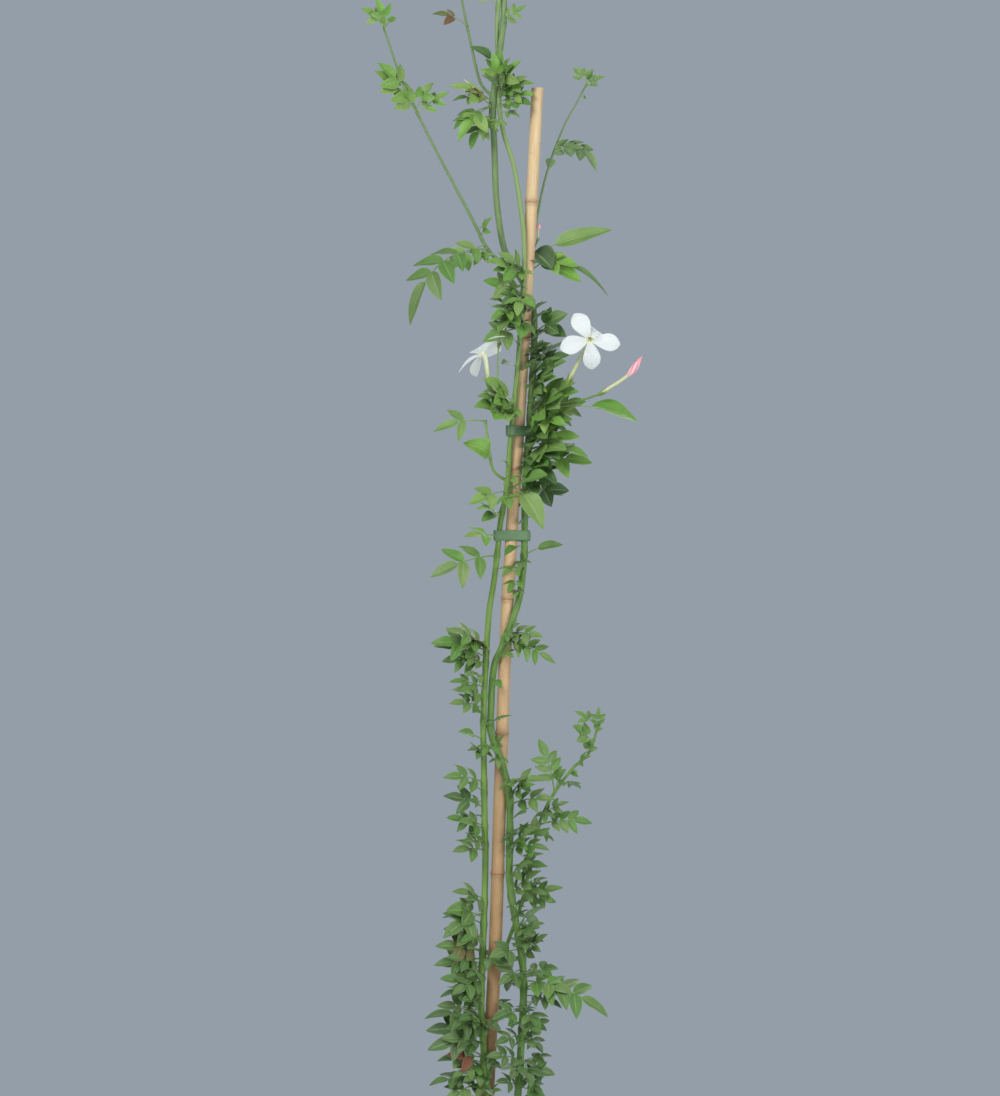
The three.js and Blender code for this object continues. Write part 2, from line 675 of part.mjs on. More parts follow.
function makeCalyx(foot, direction) {
  const cup = turned(
    [[0, -1.5], [0.9, -1.5], [CALYX_RADIUS, CALYX_LENGTH], [0, CALYX_LENGTH]], TUBE_SIDES,
  );
  const tooth = new THREE.ConeGeometry(TOOTH_RADIUS, TOOTH_LENGTH, 3).rotateX(Math.PI / 2);
  tooth.translate(CALYX_RADIUS + 0.1, 0, CALYX_LENGTH - 0.8 + TOOTH_LENGTH / 2);
  const parts = [solid(cup)];
  for (let i = 0; i < CALYX_TEETH; i += 1) {
    parts.push(solid(tooth.clone().rotateZ((2 * Math.PI * i) / CALYX_TEETH)));
  }
  const socket = new THREE.CylinderGeometry(SOCKET_RADIUS, SOCKET_RADIUS, 2 * SOCKET_DEPTH, TUBE_SIDES);
  socket.rotateX(Math.PI / 2).translate(0, 0, CALYX_LENGTH);
  const whole = join(parts).subtract(solid(socket));
  const turn = new THREE.Quaternion().setFromUnitVectors(UP, direction);
  return whole.transform(new THREE.Matrix4().compose(foot, turn, place(1, 1, 1)).elements);
}

// Where a flower's or bud's tube stands in its calyx
const tubeFoot = (foot, direction) => foot.clone()
  .addScaledVector(direction, CALYX_LENGTH - SOCKET_DEPTH + HOLE_GAP);

// Half the width of a petal, widest past its middle, with a blunt end
const petalWidth = (share) => (PETAL_WIDTH / 2) * Math.sin(Math.PI * share ** 1.3) ** 0.8;

// A flower: a slender curved tube that opens into five spreading petals. petals gives each petal's
// turn in degrees, anticlockwise from the right, and how far it folds back, in radians.
function makeFlower(foot, direction, bend, face, petals) {
  const centre = bend.clone().addScaledVector(face, 4);
  const course = new Course([tubeFoot(foot, direction), bend, centre], 0);
  const tube = shoot(course, taper(TUBE_RADII), 5, TUBE_SIDES);
  const right = new THREE.Vector3().crossVectors(UP, face).normalize();
  const upward = new THREE.Vector3().crossVectors(face, right);
  const sheet = new Sheet();
  const spoke = (turn) => right.clone()
    .multiplyScalar(Math.cos(turn))
    .addScaledVector(upward, Math.sin(turn));
  const middle = sheet.add(centre.clone().addScaledVector(face, -0.5));
  const turns = petals.map(([turn]) => THREE.MathUtils.degToRad(turn));
  const throat = turns.map((turn, i) => {
    const before = i ? turns[i - 1] : turns.at(-1) - 2 * Math.PI;
    return sheet.add(centre.clone().addScaledVector(spoke((before + turn) / 2), THROAT_RADIUS));
  });
  petals.forEach(([, fold], i) => {
    const outward = spoke(turns[i]);
    const sideways = new THREE.Vector3().crossVectors(outward, face);
    const next = throat[(i + 1) % petals.length];
    sheet.face(middle, throat[i], next);
    const at = (run, offset, lift) => centre.clone()
      .addScaledVector(outward, THROAT_RADIUS * 0.8 + run * PETAL_LENGTH * Math.cos(fold * run))
      .addScaledVector(sideways, offset)
      .addScaledVector(face, lift + PETAL_TWIST * offset - run * PETAL_LENGTH * Math.sin(fold * run));
    addBlade(sheet, next, throat[i], at, PETAL_EDGE_SHARES, petalWidth, PETAL_FOLD);
  });
  return sheet.thicken(BLADE).add(tube);
}

// A bud: its tube swells into a furled, pointed head
function makeBud(foot, direction, bend, tip) {
  const course = new Course([tubeFoot(foot, direction), bend, tip], 0);
  const girth = (share) => {
    const head = THREE.MathUtils.clamp((share - BUD_HEAD_SHARE) / (1 - BUD_HEAD_SHARE), 0, 1);
    return BUD_TUBE_RADIUS + BUD_SWELL * Math.sin(Math.PI * head ** 0.8) - BUD_POINT * head ** 3;
  };
  return shoot(course, girth, course.getLength() / BUD_STEPS, TUBE_SIDES);
}

// A tie: a band of tape drawn round the cane and the stems beside it

function makeTie(height) {
  const held = [
    [caneAt(height), caneRadius(height)],
    [rightStem.atHeight(height), TIED_STEM_RADIUS],
    [leftStem.atHeight(height), TIED_STEM_RADIUS],
  ];
  const outline = (clear) => {
    const points = [];
    for (let i = 0; i < TIE_POINTS; i += 1) {
      const turn = (2 * Math.PI * i) / TIE_POINTS;
      const out = new THREE.Vector2(Math.cos(turn), Math.sin(turn));
      const reach = ([centre, radius]) => centre.x * out.x + centre.y * out.y + radius;
      const [centre, radius] = held.reduce((best, next) => (reach(next) > reach(best) ? next : best));
      points.push(new THREE.Vector2(centre.x, centre.y).addScaledVector(out, radius + clear));
    }
    return points;
  };
  const band = new THREE.Shape(outline(TIE_CLEAR + TIE_THICKNESS));
  band.holes.push(new THREE.Path(outline(TIE_CLEAR)));
  const geometry = new THREE.ExtrudeGeometry(band, { depth: TIE_WIDTH, bevelEnabled: false });
  geometry.translate(0, 0, height - TIE_WIDTH / 2);
  return solid(geometry);
}

// The pieces

// The hole that a stem stands in
function stemHole(course, radii) {
  const radius = taper(radii);
  return shoot(course, (share) => radius(share) + HOLE_GAP);
}

function caneHole() {
  const height = POT_HEIGHT;
  const straight = new THREE.CylinderGeometry(CANE_HOLE_RADIUS, CANE_HOLE_RADIUS, height, CANE_SIDES);
  straight.rotateX(Math.PI / 2).translate(0, 0, CANE_FOOT - HOLE_GAP + height / 2);
  return solid(reshape(straight, (point) => {
    const axis = caneAt(point.z);
    point.x += axis.x;
    point.y += axis.y;
  }));
}

const flowerFoot = flowerSpur.getPoint(1);
const flowerWay = place(11, -5, 24).normalize();
const leftFlowerFoot = leftFlowerSpur.getPoint(1);
const leftFlowerWay = place(-2, -1, 9).normalize();
const budFoot = budStalk.getPoint(1);
const budWay = place(9, -2, 5).normalize();

addPiece('pot', makePot(), terracotta);
addPiece('compost', makeSoil([
  caneHole(),
  stemHole(rightStem, RIGHT_STEM_RADII),
  stemHole(leftStem, LEFT_STEM_RADII),
  stemHole(lowStem, LOW_STEM_RADII),
]), compost);
addPiece('cane', makeCane(), bamboo);

addPiece('right_stem', join([
  shoot(rightStem, taper(RIGHT_STEM_RADII)),
  shoot(upperLeftShoot, taper(UPPER_LEFT_RADII)),
  shoot(upperRightShoot, taper(UPPER_RIGHT_RADII)),
  shoot(uprightShoot, taper(UPRIGHT_RADII)),
  shoot(flowerSpur, taper(FLOWER_SPUR_RADII), SPUR_STEP),
  shoot(budStalk, taper(BUD_STALK_RADII), SPUR_STEP),
  makeCalyx(flowerFoot, flowerWay),
  makeCalyx(budFoot, budWay),
  ...leavesOn(rightStem, RIGHT_STEM_LEAVES, 100),
  ...leavesOn(upperLeftShoot, UPPER_LEFT_LEAVES, 200),
  ...leavesOn(upperRightShoot, UPPER_RIGHT_LEAVES, 300),
  ...leavesOn(uprightShoot, UPRIGHT_LEAVES, 400),
  ...leavesOn(flowerSpur, FLOWER_SPUR_LEAVES, 450),
]), leafGreen);
addPiece('left_stem', join([
  shoot(leftStem, taper(LEFT_STEM_RADII)),
  shoot(leftSpur, taper(LEFT_SPUR_RADII), SPUR_STEP),
  shoot(leftFlowerSpur, taper(FLOWER_SPUR_RADII), SPUR_STEP),
  makeCalyx(leftFlowerFoot, leftFlowerWay),
  ...leavesOn(leftStem, LEFT_STEM_LEAVES, 500),
  ...leavesOn(leftSpur, LEFT_SPUR_LEAVES, 700),
]), leafGreen);
addPiece('low_stem', join([
  shoot(lowStem, taper(LOW_STEM_RADII)),
  ...leavesOn(lowStem, LOW_STEM_LEAVES, 800),
]), leafGreen);

addPiece('right_flower', makeFlower(
  flowerFoot, flowerWay, place(70.5, -20, 739), place(0.12, -0.97, 0.12).normalize(),
  [[118, 0.1], [194, 0.05], [275, 0.1], [350, 0.05], [410, 1]],
), petalWhite);
addPiece('left_flower', makeFlower(
  leftFlowerFoot, leftFlowerWay, place(3.4, -15, 728), place(-0.62, 0.3, 0.72).normalize(),
  [[20, 0.15], [92, 0.2], [164, 0.1], [236, 0.25], [308, 0.1]],
), petalWhite);
addPiece('bud', makeBud(budFoot, budWay, place(96, -18, 717), place(105, -20, 729)), budPink);

TIE_HEIGHTS.forEach((height, i) => addPiece(`tie_${i + 1}`, makeTie(height), tapeGreen));

export default group;
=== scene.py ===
import math

import bmesh
import bpy
import numpy as np
from mathutils import Matrix


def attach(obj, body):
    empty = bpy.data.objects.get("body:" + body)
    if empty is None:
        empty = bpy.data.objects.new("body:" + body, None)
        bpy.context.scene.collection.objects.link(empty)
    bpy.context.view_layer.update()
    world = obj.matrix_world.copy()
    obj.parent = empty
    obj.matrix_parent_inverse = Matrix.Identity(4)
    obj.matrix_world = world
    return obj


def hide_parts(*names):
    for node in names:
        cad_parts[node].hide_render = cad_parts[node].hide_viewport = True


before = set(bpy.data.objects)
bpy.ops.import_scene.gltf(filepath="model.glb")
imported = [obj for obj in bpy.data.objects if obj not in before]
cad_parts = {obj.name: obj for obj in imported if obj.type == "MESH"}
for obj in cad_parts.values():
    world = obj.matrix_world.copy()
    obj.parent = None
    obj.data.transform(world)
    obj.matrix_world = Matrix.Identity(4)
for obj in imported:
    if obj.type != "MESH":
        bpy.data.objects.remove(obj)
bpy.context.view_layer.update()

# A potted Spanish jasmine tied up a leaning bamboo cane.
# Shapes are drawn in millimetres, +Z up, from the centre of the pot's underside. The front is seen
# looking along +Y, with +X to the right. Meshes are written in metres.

MM = 0.001

# Pot
POT_HEIGHT = 150
POT_RADIUS = 85
POT_BASE_RADIUS = 61
POT_WALL = 2.2
POT_SIDES = 128
BAND_HEIGHT = 27
BAND_STEP = 4
BAND_FOOT = POT_HEIGHT - BAND_HEIGHT
POT_SLOPE = (POT_RADIUS - BAND_STEP - POT_BASE_RADIUS) / POT_HEIGHT
WALL_TOP_RADIUS = POT_BASE_RADIUS + POT_SLOPE * BAND_FOOT
BAND_BOTTOM_RADIUS = WALL_TOP_RADIUS + BAND_STEP
RIM_ROUND = 0.4
DRAIN_HOLES = 8
DRAIN_RADIUS = 4.5
DRAIN_CIRCLE = 46

# Compost
SEAT_GAP = 0.4
SOIL_EDGE_HEIGHT = 134
SOIL_CROWN = 5
SOIL_BUMP = 1.1
SOIL_LUMP = 0.5
SOIL_CRUMB = 0.45
SOIL_SIDES = 128
SOIL_RINGS = 62
CRUMBS = 620
CRUMB_SIZES = (0.5, 1.7)
CRUMB_FLATNESS = 0.75
CRUMB_WAVE = 0.22
CRUMB_LIFT = 0.22
CRUMB_EDGE_GAP = 2.5
BARK_BITS = 60
BARK_SIZES = (1.4, 2.6)
BARK_STRETCH = (2.4, 1.1, 0.42)

# Cane: its axis at even steps of height, as (x, y)
CANE_FOOT = 8
CANE_TOP = 904
CANE_AXIS = [
    (-3, 0), (0.2, 1), (4, 2), (9.8, 2.5), (13.4, 2), (17.8, 1), (24.8, 0), (31.5, -0.5), (37.4, -1),
]
CANE_FOOT_RADIUS = 4.6
CANE_TOP_RADIUS = 3.8
CANE_SIDES = 36
CANE_NODES = [25, 112, 205, 300, 393, 484, 572, 656, 742, 830]
# Each node's two rings and the groove between them, as (rise, height above the node, width)
CANE_RINGS = [(0.62, 0.7, 1.5), (0.34, -1.6, 0.6), (-0.3, -0.7, 0.35)]
CANE_BORE_RADIUS = 1.5
CANE_BORE_DEPTH = 12

# Stems and side shoots: radii from foot to tip, and how near the cane's axis they may come
RIGHT_STEM_RADII = (2.3, 1.9)
LEFT_STEM_RADII = (2.3, 1.3)
LOW_STEM_RADII = (1.9, 0.7)
UPPER_LEFT_RADII = (1.2, 0.7)
UPPER_RIGHT_RADII = (0.9, 0.5)
UPRIGHT_RADII = (1, 0.7)
LEFT_SPUR_RADII = (1, 0.8)
FLOWER_SPUR_RADII = (1, 0.9)
BUD_STALK_RADII = (0.8, 0.6)
YOUNG_STALK_RADII = (0.8, 0.45)
STEM_CLEARANCE = 7.5
LOW_STEM_CLEARANCE = 6.6
SHOOT_CLEARANCE = 4.9
FREE_ABOVE_CANE = 6
TWIST_FOOT = 892
TWIST_TOP = 1012
TWIST_ROWS = 7
TWIST_TURN = math.pi / 58
TWIST_RADIUS = 2.1
TWIST_SIDE = -26.5
SHOOT_SIDES = 12
SHOOT_STEP = 2.4
JOINT_SWELL = 0.22
JOINT_REACH = 2.6
STEM_ANGLES = 0.045
WOODY_FADE = 120
WOODY_LEAST = 0.1

# Leaves, whose shares are of the whole leaf's length. The lists go by its pairs of leaflets.
END_LEAFLET_SHARES = [0.42, 0.53, 0.61, 0.67]
PAIR_LENGTH_SHARES = [0, 0.38, 0.31, 0.25]
FIRST_PAIR_SHARE = 0.27
LAST_PAIR_GAP = 0.1
PAIR_SPREAD = 1.16
PAIR_SPREAD_LOSS = 0.2
SPREAD_RANGE = 0.16
LEAFLET_HALF_WIDTH = 0.2
LEAFLET_WIDTH_RANGE = 0.04
LEAFLET_FOLD = 0.3
ARCH_LEAST = 0.07
ARCH_RANGE = 0.08
SAG_LEAST = 0.1
SAG_RANGE = 0.16
FACES_UP = 0.72
FACES_FRONT = 0.75
FACES_BACK = 0.45
BACK_BEGINS = 6
ROLL_RANGE = 0.7
RIB_WIDTH = 1.3
PAIR_GROWTH = 1.18
PAIR_LEAST = 0.84
PAIR_GAIN = 0.2
PAIR_RANGE = 0.16
BREADTH = 1.2
SMALL_LEAFLET = 11
LARGE_LEAFLET = 19
BLADE_THICKNESS = 0.3
MIDRIB_HEIGHT = 0.28
EDGE_WAVE = 0.1
PETIOLE_RADIUS = 0.62
PETIOLE_FOOT = 1.5
PETIOLE_POINTS = 9
RACHIS_RADIUS = 0.36

# Flowers and buds
CALYX_LENGTH = 4
CALYX_RADIUS = 1.9
CALYX_TEETH = 5
# Rows of (height, radius), up its outside and down into its socket
CALYX_CUP = [
    (-1.5, 0.75), (-0.6, 1.1), (0.6, 1.5), (2, 1.75), (3.3, 1.9), (CALYX_LENGTH, CALYX_RADIUS),
    (CALYX_LENGTH, 1.45), (2.6, 1.3),
]
TOOTH_HEIGHTS = [-0.9, 0, 1.2, 2.6, 3.9, 4.6]
TOOTH_RADII = [0.62, 0.6, 0.42, 0.26, 0.13, 0.04]
SOCKET_DEPTH = 1.5
HOLE_GAP = 0.35
PETAL_LENGTH = 18.2
PETAL_WIDTH = 11.8
PETAL_WIDEST = 1.45
PETAL_BLUNTNESS = 0.68
PETAL_FOOT_WIDTH = 1.3
PETAL_FOOT = 0.46
PETAL_STRETCH = 1.04
PETAL_DIP = 0.8
PETAL_FOLD = 0.12
PETAL_TWIST = 0.16
PETAL_THICKNESS = 0.34
THROAT_RADIUS = 2.6
TUBE_RADII = (1.1, 1.6)
FLARE_LENGTH = 3.4
ANTHER_HEIGHTS = [-3.2, -1.8, -0.9, -0.3, 0.2]
ANTHER_RADII = [0.2, 0.36, 0.42, 0.36, 0.12]
BUD_TUBE_RADIUS = 1.1
BUD_SWELL = 1.2
BUD_POINT = 0.8
BUD_HEAD_SHARE = 0.55

# Ties of soft green tape
TIE_HEIGHTS = [613, 681]
TIE_WIDTH = 8
TIE_THICKNESS = 0.9
TIE_EDGE = 0.9
TIE_CLEAR = 0.7
TIED_STEM_RADIUS = 2.1
TIE_POINTS = 96
TIE_LEANS = (0.35, -0.45)
TIE_SLACK = 0.16
TIE_FINE_SLACK = 0.1
TIE_PLEAT = 0.12
# Round the tape's section, as shares of (half its width, half its thickness)
TIE_SECTION = [
    (-0.9, -1), (-0.4, -1), (0.4, -1), (0.9, -1), (1, 0), (0.9, 1), (0.4, 1), (-0.4, 1), (-0.9, 1),
    (-1, 0),
]

# The photograph's frame
PHOTO_WIDTH = 1000
PHOTO_HEIGHT = 1096
PIXEL = 0.65
CANE_PIXEL = 480
GROUND_PIXEL = 961.2 / PIXEL
SENSOR = 36
LENS = 200

UP = np.array([0.0, 0.0, 1.0])
FRONT = np.array([0.0, -1.0, 0.0])


# Numbers and directions

def between(first, last, share):
    return first + (last - first) * share


def unit(vector):
    return vector / np.linalg.norm(vector, axis=-1, keepdims=True)


def place(x, y, z):
    return np.array([x, y, z], float)


def round_turns(sides):
    """Even turns once round, in radians."""
    return np.arange(sides) * 2 * math.pi / sides


def draws(seed):
    """Seeded draws from 0 to 1."""
    state = (seed * 2654435761 + 12345) % 2**32

    def draw():
        nonlocal state
        state = (state * 1664525 + 1013904223) % 2**32
        return state / 2**32

    return draw


def ripples(x, y, seed, lengths):
    """A rough height from -1 to 1 over the plane: waves of the given lengths in drawn directions."""
    draw = draws(seed)
    total = 0
    for length in lengths:
        turn = 2 * math.pi * draw()
        phase = 2 * math.pi * draw()
        total = total + np.sin((x * math.cos(turn) + y * math.sin(turn)) * 2 * math.pi / length + phase)
    return total / len(lengths)


def soften(corners, reach, steps=4):
    """The corners of an open outline, each drawn round as a short curve."""
    corners = [np.array(corner, float) for corner in corners]
    points = [corners[0]]
    for before, corner, after in zip(corners, corners[1:], corners[2:]):
        start = corner + unit(before - corner) * min(reach, np.linalg.norm(before - corner) / 2)
        end = corner + unit(after - corner) * min(reach, np.linalg.norm(after - corner) / 2)
        for share in np.linspace(0, 1, steps):
            points.append(between(between(start, corner, share), between(corner, end, share), share))
    points.append(corners[-1])
    return np.array(points)


# Courses: smooth lines through points

class Course:
    """A smooth line through points that keeps a distance from the cane's axis."""

    fineness = 1500

    def __init__(self, points, clearance=0.0):
        self.points = np.array(points, float)
        self.clearance = clearance
        self.fine = None

    def at(self, shares):
        points = self.points
        padded = np.vstack([2 * points[0] - points[1], points, 2 * points[-1] - points[-2]])
        spans = np.atleast_1d(shares) * (len(points) - 1)
        start = np.minimum(spans.astype(int), len(points) - 2)
        share = (spans - start)[:, None]
        first, second, third, fourth = (padded[start + k] for k in range(4))
        leaving = (third - first) / 2
        arriving = (fourth - second) / 2
        square = 3 * (third - second) - 2 * leaving - arriving
        cube = 2 * (second - third) + leaving + arriving
        line = second + leaving * share + square * share**2 + cube * share**3
        return clear_of_cane(line, self.clearance) if self.clearance else line

    def drawn(self):
        if self.fine is None:
            self.fine = self.at(np.linspace(0, 1, self.fineness))
        return self.fine

    def lengths(self):
        steps = np.linalg.norm(np.diff(self.drawn(), axis=0), axis=1)
        return np.concatenate([[0], np.cumsum(steps)])

    def along(self, lengths):
        """The points at lengths from the foot."""
        fine = self.drawn()
        whole = self.lengths()
        return np.stack([np.interp(lengths, whole, fine[:, k]) for k in range(3)], axis=1)

    def at_height(self, height):
        fine = self.drawn()
        return np.array([np.interp(height, fine[:, 2], fine[:, k]) for k in range(3)])

    def length_at_height(self, height):
        return float(np.interp(height, self.drawn()[:, 2], self.lengths()))

    def end(self):
        return self.drawn()[-1]


CANE_LINE = Course([
    (x, y, between(CANE_FOOT, CANE_TOP, i / (len(CANE_AXIS) - 1))) for i, (x, y) in enumerate(CANE_AXIS)
])


def cane_at(heights):
    """The cane's axis at heights, drawn on straight past its ends."""
    shares = (np.atleast_1d(heights) - CANE_FOOT) / (CANE_TOP - CANE_FOOT)
    line = CANE_LINE.at(np.clip(shares, 0, 1))
    ends = CANE_LINE.points
    beyond = (np.atleast_1d(heights) - line[:, 2])[:, None]
    lean = np.where(shares[:, None] > 0.5, ends[-1] - ends[-2], ends[1] - ends[0])
    return line + lean * beyond / lean[:, 2:]


def cane_radius(height):
    return between(CANE_FOOT_RADIUS, CANE_TOP_RADIUS, (height - CANE_FOOT) / (CANE_TOP - CANE_FOOT))


def clear_of_cane(points, distance):
    axis = cane_at(points[:, 2])
    away = np.linalg.norm(points[:, :2] - axis[:, :2], axis=1)
    push = np.maximum(1, distance / np.maximum(away, 1e-6))
    push[points[:, 2] > CANE_TOP + FREE_ABOVE_CANE] = 1
    moved = points.copy()
    moved[:, :2] = axis[:, :2] + (points[:, :2] - axis[:, :2]) * push[:, None]
    return moved


# Skins: the meshes in the making

class Skin:
    """The points and faces of one piece. Each point keeps its place on its part, such as how far
    along and across a leaflet it is, and its shade: three values that the finish reads, which for a
    leaflet are how light it is, how withered, and a chance value."""

    def __init__(self):
        self.points = []
        self.places = []
        self.shades = []
        self.faces = []
        self.count = 0

    def add(self, points, places, shade):
        points = np.reshape(points, (-1, 3))
        first = self.count
        self.points.append(points)
        self.places.append(np.broadcast_to(np.reshape(places, (-1, 3)), points.shape))
        self.shades.append(np.broadcast_to(np.reshape(shade, (-1, 3)), points.shape))
        self.count += len(points)
        return first

    def tube(self, rings, places, shade, closed=False):
        """Rings of points joined side by side. The ends are closed over, or joined to each other."""
        count, sides = rings.shape[:2]
        shades = np.broadcast_to(np.asarray(shade, float), rings.shape)
        places = np.broadcast_to(places, rings.shape)
        index = self.add(rings, places, shades) + np.arange(count * sides).reshape(count, sides)
        if closed:
            index = np.vstack([index, index[:1]])
        turned = np.roll(index, -1, axis=1)
        quads = np.stack([index[:-1], turned[:-1], turned[1:], index[1:]], axis=-1)
        self.faces.append(quads.reshape(-1, 4))
        if closed:
            return
        for end, first, second in ((0, turned, index), (-1, index, turned)):
            middle = self.add(rings[end].mean(axis=0), places[end].mean(axis=0), shades[end].mean(axis=0))
            fan = np.stack([first[end], second[end], np.full(sides, middle)], axis=-1)
            self.faces.append(fan)

    def piece(self, name, material, sharp=40):
        """Writes the mesh and adds its object to the scene."""
        mesh = bpy.data.meshes.new(name)
        faces = [face for block in self.faces for face in block.tolist()]
        mesh.from_pydata(np.concatenate(self.points) * MM, [], faces)
        for key, values in (("place", self.places), ("shade", self.shades)):
            attribute = mesh.attributes.new(key, "FLOAT_VECTOR", "POINT")
            attribute.data.foreach_set("vector", np.concatenate(values).astype(np.float32).ravel())
        mesh.materials.append(material)
        mesh.shade_smooth()
        mesh.set_sharp_from_angle(angle=math.radians(sharp))
        piece = bpy.data.objects.new(name, mesh)
        bpy.context.scene.collection.objects.link(piece)
        return piece


def square_to(line):
    """The way along a line of points, and two directions square to it that turn as little as can be."""
    ways = unit(np.gradient(line, axis=0))
    side = np.cross(ways[0], FRONT if abs(ways[0] @ UP) > 0.9 else UP)
    sides = []
    for way in ways:
        side = unit(side - way * (side @ way))
        sides.append(side)
    sides = np.array(sides)
    return ways, sides, np.cross(ways, sides)


def round_rings(line, radii, sides):
    """Rings round a line of points. radii is one number a ring, or one for each of its points."""
    _, right, upward = square_to(line)
    turns = round_turns(sides)
    reach = np.asarray(radii, float)
    reach = reach[:, None] if reach.ndim == 1 else reach
    cosines = (reach * np.cos(turns))[..., None]
    sines = (reach * np.sin(turns))[..., None]
    return line[:, None] + cosines * right[:, None] + sines * upward[:, None]


def round_places(lengths, sides):
    """For each point of a tube, the cosine and sine of its turn and its length from the foot."""
    turns = round_turns(sides)
    places = np.zeros((len(lengths), sides, 3))
    places[..., 0] = np.cos(turns)
    places[..., 1] = np.sin(turns)
    places[..., 2] = np.asarray(lengths)[:, None]
    return places


# Courses of the three stems, as rows of (height, side, depth) from the cane's axis

def beside_cane(rows):
    return [cane_at(height)[0] + place(side, depth, 0) for height, side, depth in rows]


def leader_rows(phase):
    """From just below the cane's top upwards the two leaders wind round each other."""
    rows = []
    for i in range(TWIST_ROWS):
        height = between(TWIST_FOOT, TWIST_TOP, i / (TWIST_ROWS - 1))
        turn = phase + (height - TWIST_FOOT) * TWIST_TURN
        rows.append((height, TWIST_SIDE + TWIST_RADIUS * math.cos(turn), TWIST_RADIUS * math.sin(turn)))
    return rows


RIGHT_STEM_ROWS = [
    (110, 15, -4), (142, 16, -5), (190, 18, -6), (249, 19.8, -6), (311, 20, -5), (340, 17.5, -5),
    (375, 10, -3), (402, 6.6, -1), (441, 5.5, -3.5), (467, 0, -6.8), (484, -7, -4), (506, -7.8, 0),
    (526, -7, -2.5), (541, -2, -7), (556, 3, -6.5), (573, 7.6, -4), (594, 9, -1.5), (613, 8.6, -1),
    (632, 7.4, 0), (655, 6.6, 2.5), (681, 6.6, 2), (706, 7, 2), (740, 6.5, 3), (760, 4.5, 4.8),
    (775, -1, 6.8), (788, -10, 5), (802, -17, 2.5), (831, -22.9, 1.5), (865, -26, 1),
]
LEFT_STEM_ROWS = [
    (112, 4, -12), (142, 3, -11), (200, 1.5, -8.5), (249, 0, -7.2), (280, -4, -6.4), (311, -7.4, -3),
    (360, -8, 1), (400, -8.2, 3), (428, -9.5, 0), (461, -11, -1), (490, -12.4, -2.6), (526, -12.4, -1),
    (562, -11.7, 0), (583, -9.6, -0.4), (603, -8.4, -0.8), (623, -7.6, -1.4), (641, -4.6, -5.4),
    (669, -4.5, -5.2), (701, -3.3, -6), (740, -2.3, -6.4), (786, -2.3, -6.4), (812, -4.5, -6),
    (851, -12.3, -4.5), (873, -20, -3),
]
LOW_STEM_ROWS = [
    (114, -14, 5), (142, -13, 6), (200, -9, 8), (249, -6, 8.6), (300, -2, 8.6), (340, 6, 8),
    (376, 16.8, 5), (405, 22, 2), (434, 29, -2), (460, 45, -6), (472, 57, -8), (490, 62, -9),
]

right_stem = Course(beside_cane(RIGHT_STEM_ROWS + leader_rows(math.pi)), STEM_CLEARANCE)
left_stem = Course(beside_cane(LEFT_STEM_ROWS + leader_rows(0)), STEM_CLEARANCE)
low_stem = Course(beside_cane(LOW_STEM_ROWS), LOW_STEM_CLEARANCE)


def side_shoot(*points):
    return Course(points, SHOOT_CLEARANCE)


upper_left_shoot = side_shoot(
    right_stem.at_height(788), (6.5, -4, 797), (-6.5, -10, 821), (-36.4, -18, 878),
    (-52, -23, 912), (-62, -28, 941),
)
upper_right_shoot = side_shoot(
    right_stem.at_height(764), (31.5, 9.5, 785), (34, 11, 802), (42, 14, 844),
    (53.3, 17, 877), (63.7, 19, 897), (70, 20, 909),
)
upright_shoot = side_shoot(
    right_stem.at_height(898), (0, -4, 908), (-6.5, -6, 935), (-11.7, -7, 961), (-14, -8, 983),
)
left_spur = side_shoot(left_stem.at_height(648), (9, -11, 655), (6, -13, 668), (3.5, -14, 688))
flower_spur = side_shoot(right_stem.at_height(668), (42, -4, 684), (52, -9, 701), (56, -12, 710))
bud_stalk = side_shoot(flower_spur.at_height(699), (66, -12, 701), (77, -14, 704.5))
young_stalk = side_shoot(left_stem.at_height(692), (13, -13, 702), (11.5, -15, 720), (12, -16, 735))
small_stalk = side_shoot(upper_right_shoot.at_height(797), (35.5, 6, 801), (37, 4, 804))
left_flower_spur = side_shoot(left_stem.at_height(688), (14, -11, 694), (9, -13, 702), (6.5, -14, 708))


# Leaves

def leaflet_width(share):
    """A leaflet's width as a share of its widest, which is before its middle. It ends in a point."""
    return 2.63 * share**0.55 * (1 - share) ** 0.9


def blade_section(columns):
    """Round the section of a thin blade: across from -1 to 1, the side of the blade from -1 to 1,
    and 1 on the upper face and its edges. It starts at the right edge and runs under the blade."""
    under = np.linspace(1, -1, columns)
    upper = under[::-1][1:-1]
    across = np.concatenate([under, upper])
    level = np.concatenate([[0], np.full(columns - 2, -1), [0], np.full(columns - 2, 1)])
    return across, level, np.where(level < 0, 0.0, 1.0)


def blade(skin, at, size, half_width, rows, columns, shade, thickness, lift_at):
    """A thin closed blade. at(run, offset, lift) gives points of its middle surface, half_width(run)
    half its width, and lift_at(run, across, half) how it folds and waves."""
    runs = 0.5 - 0.5 * np.cos(np.linspace(0.12, math.pi - 0.05, rows))
    across, level, upper = blade_section(columns)
    run, side = np.meshgrid(runs, across, indexing="ij")
    half = np.maximum(half_width(run), between(0.3, 0.04, run))
    body = np.minimum(1, half / 1.2) * thickness / 2
    rib = MIDRIB_HEIGHT * (1 - run) ** 0.6 * np.clip(1 - abs(side) / 0.3, 0, 1) * np.minimum(1, size / 20)
    lift = lift_at(run, side, half) + level * body - np.where(level < 0, rib, 0)
    points = at(run[..., None], (side * half)[..., None], lift[..., None])
    places = np.stack([run, side, np.broadcast_to(upper, run.shape)], axis=-1)
    skin.tube(points, places, shade)


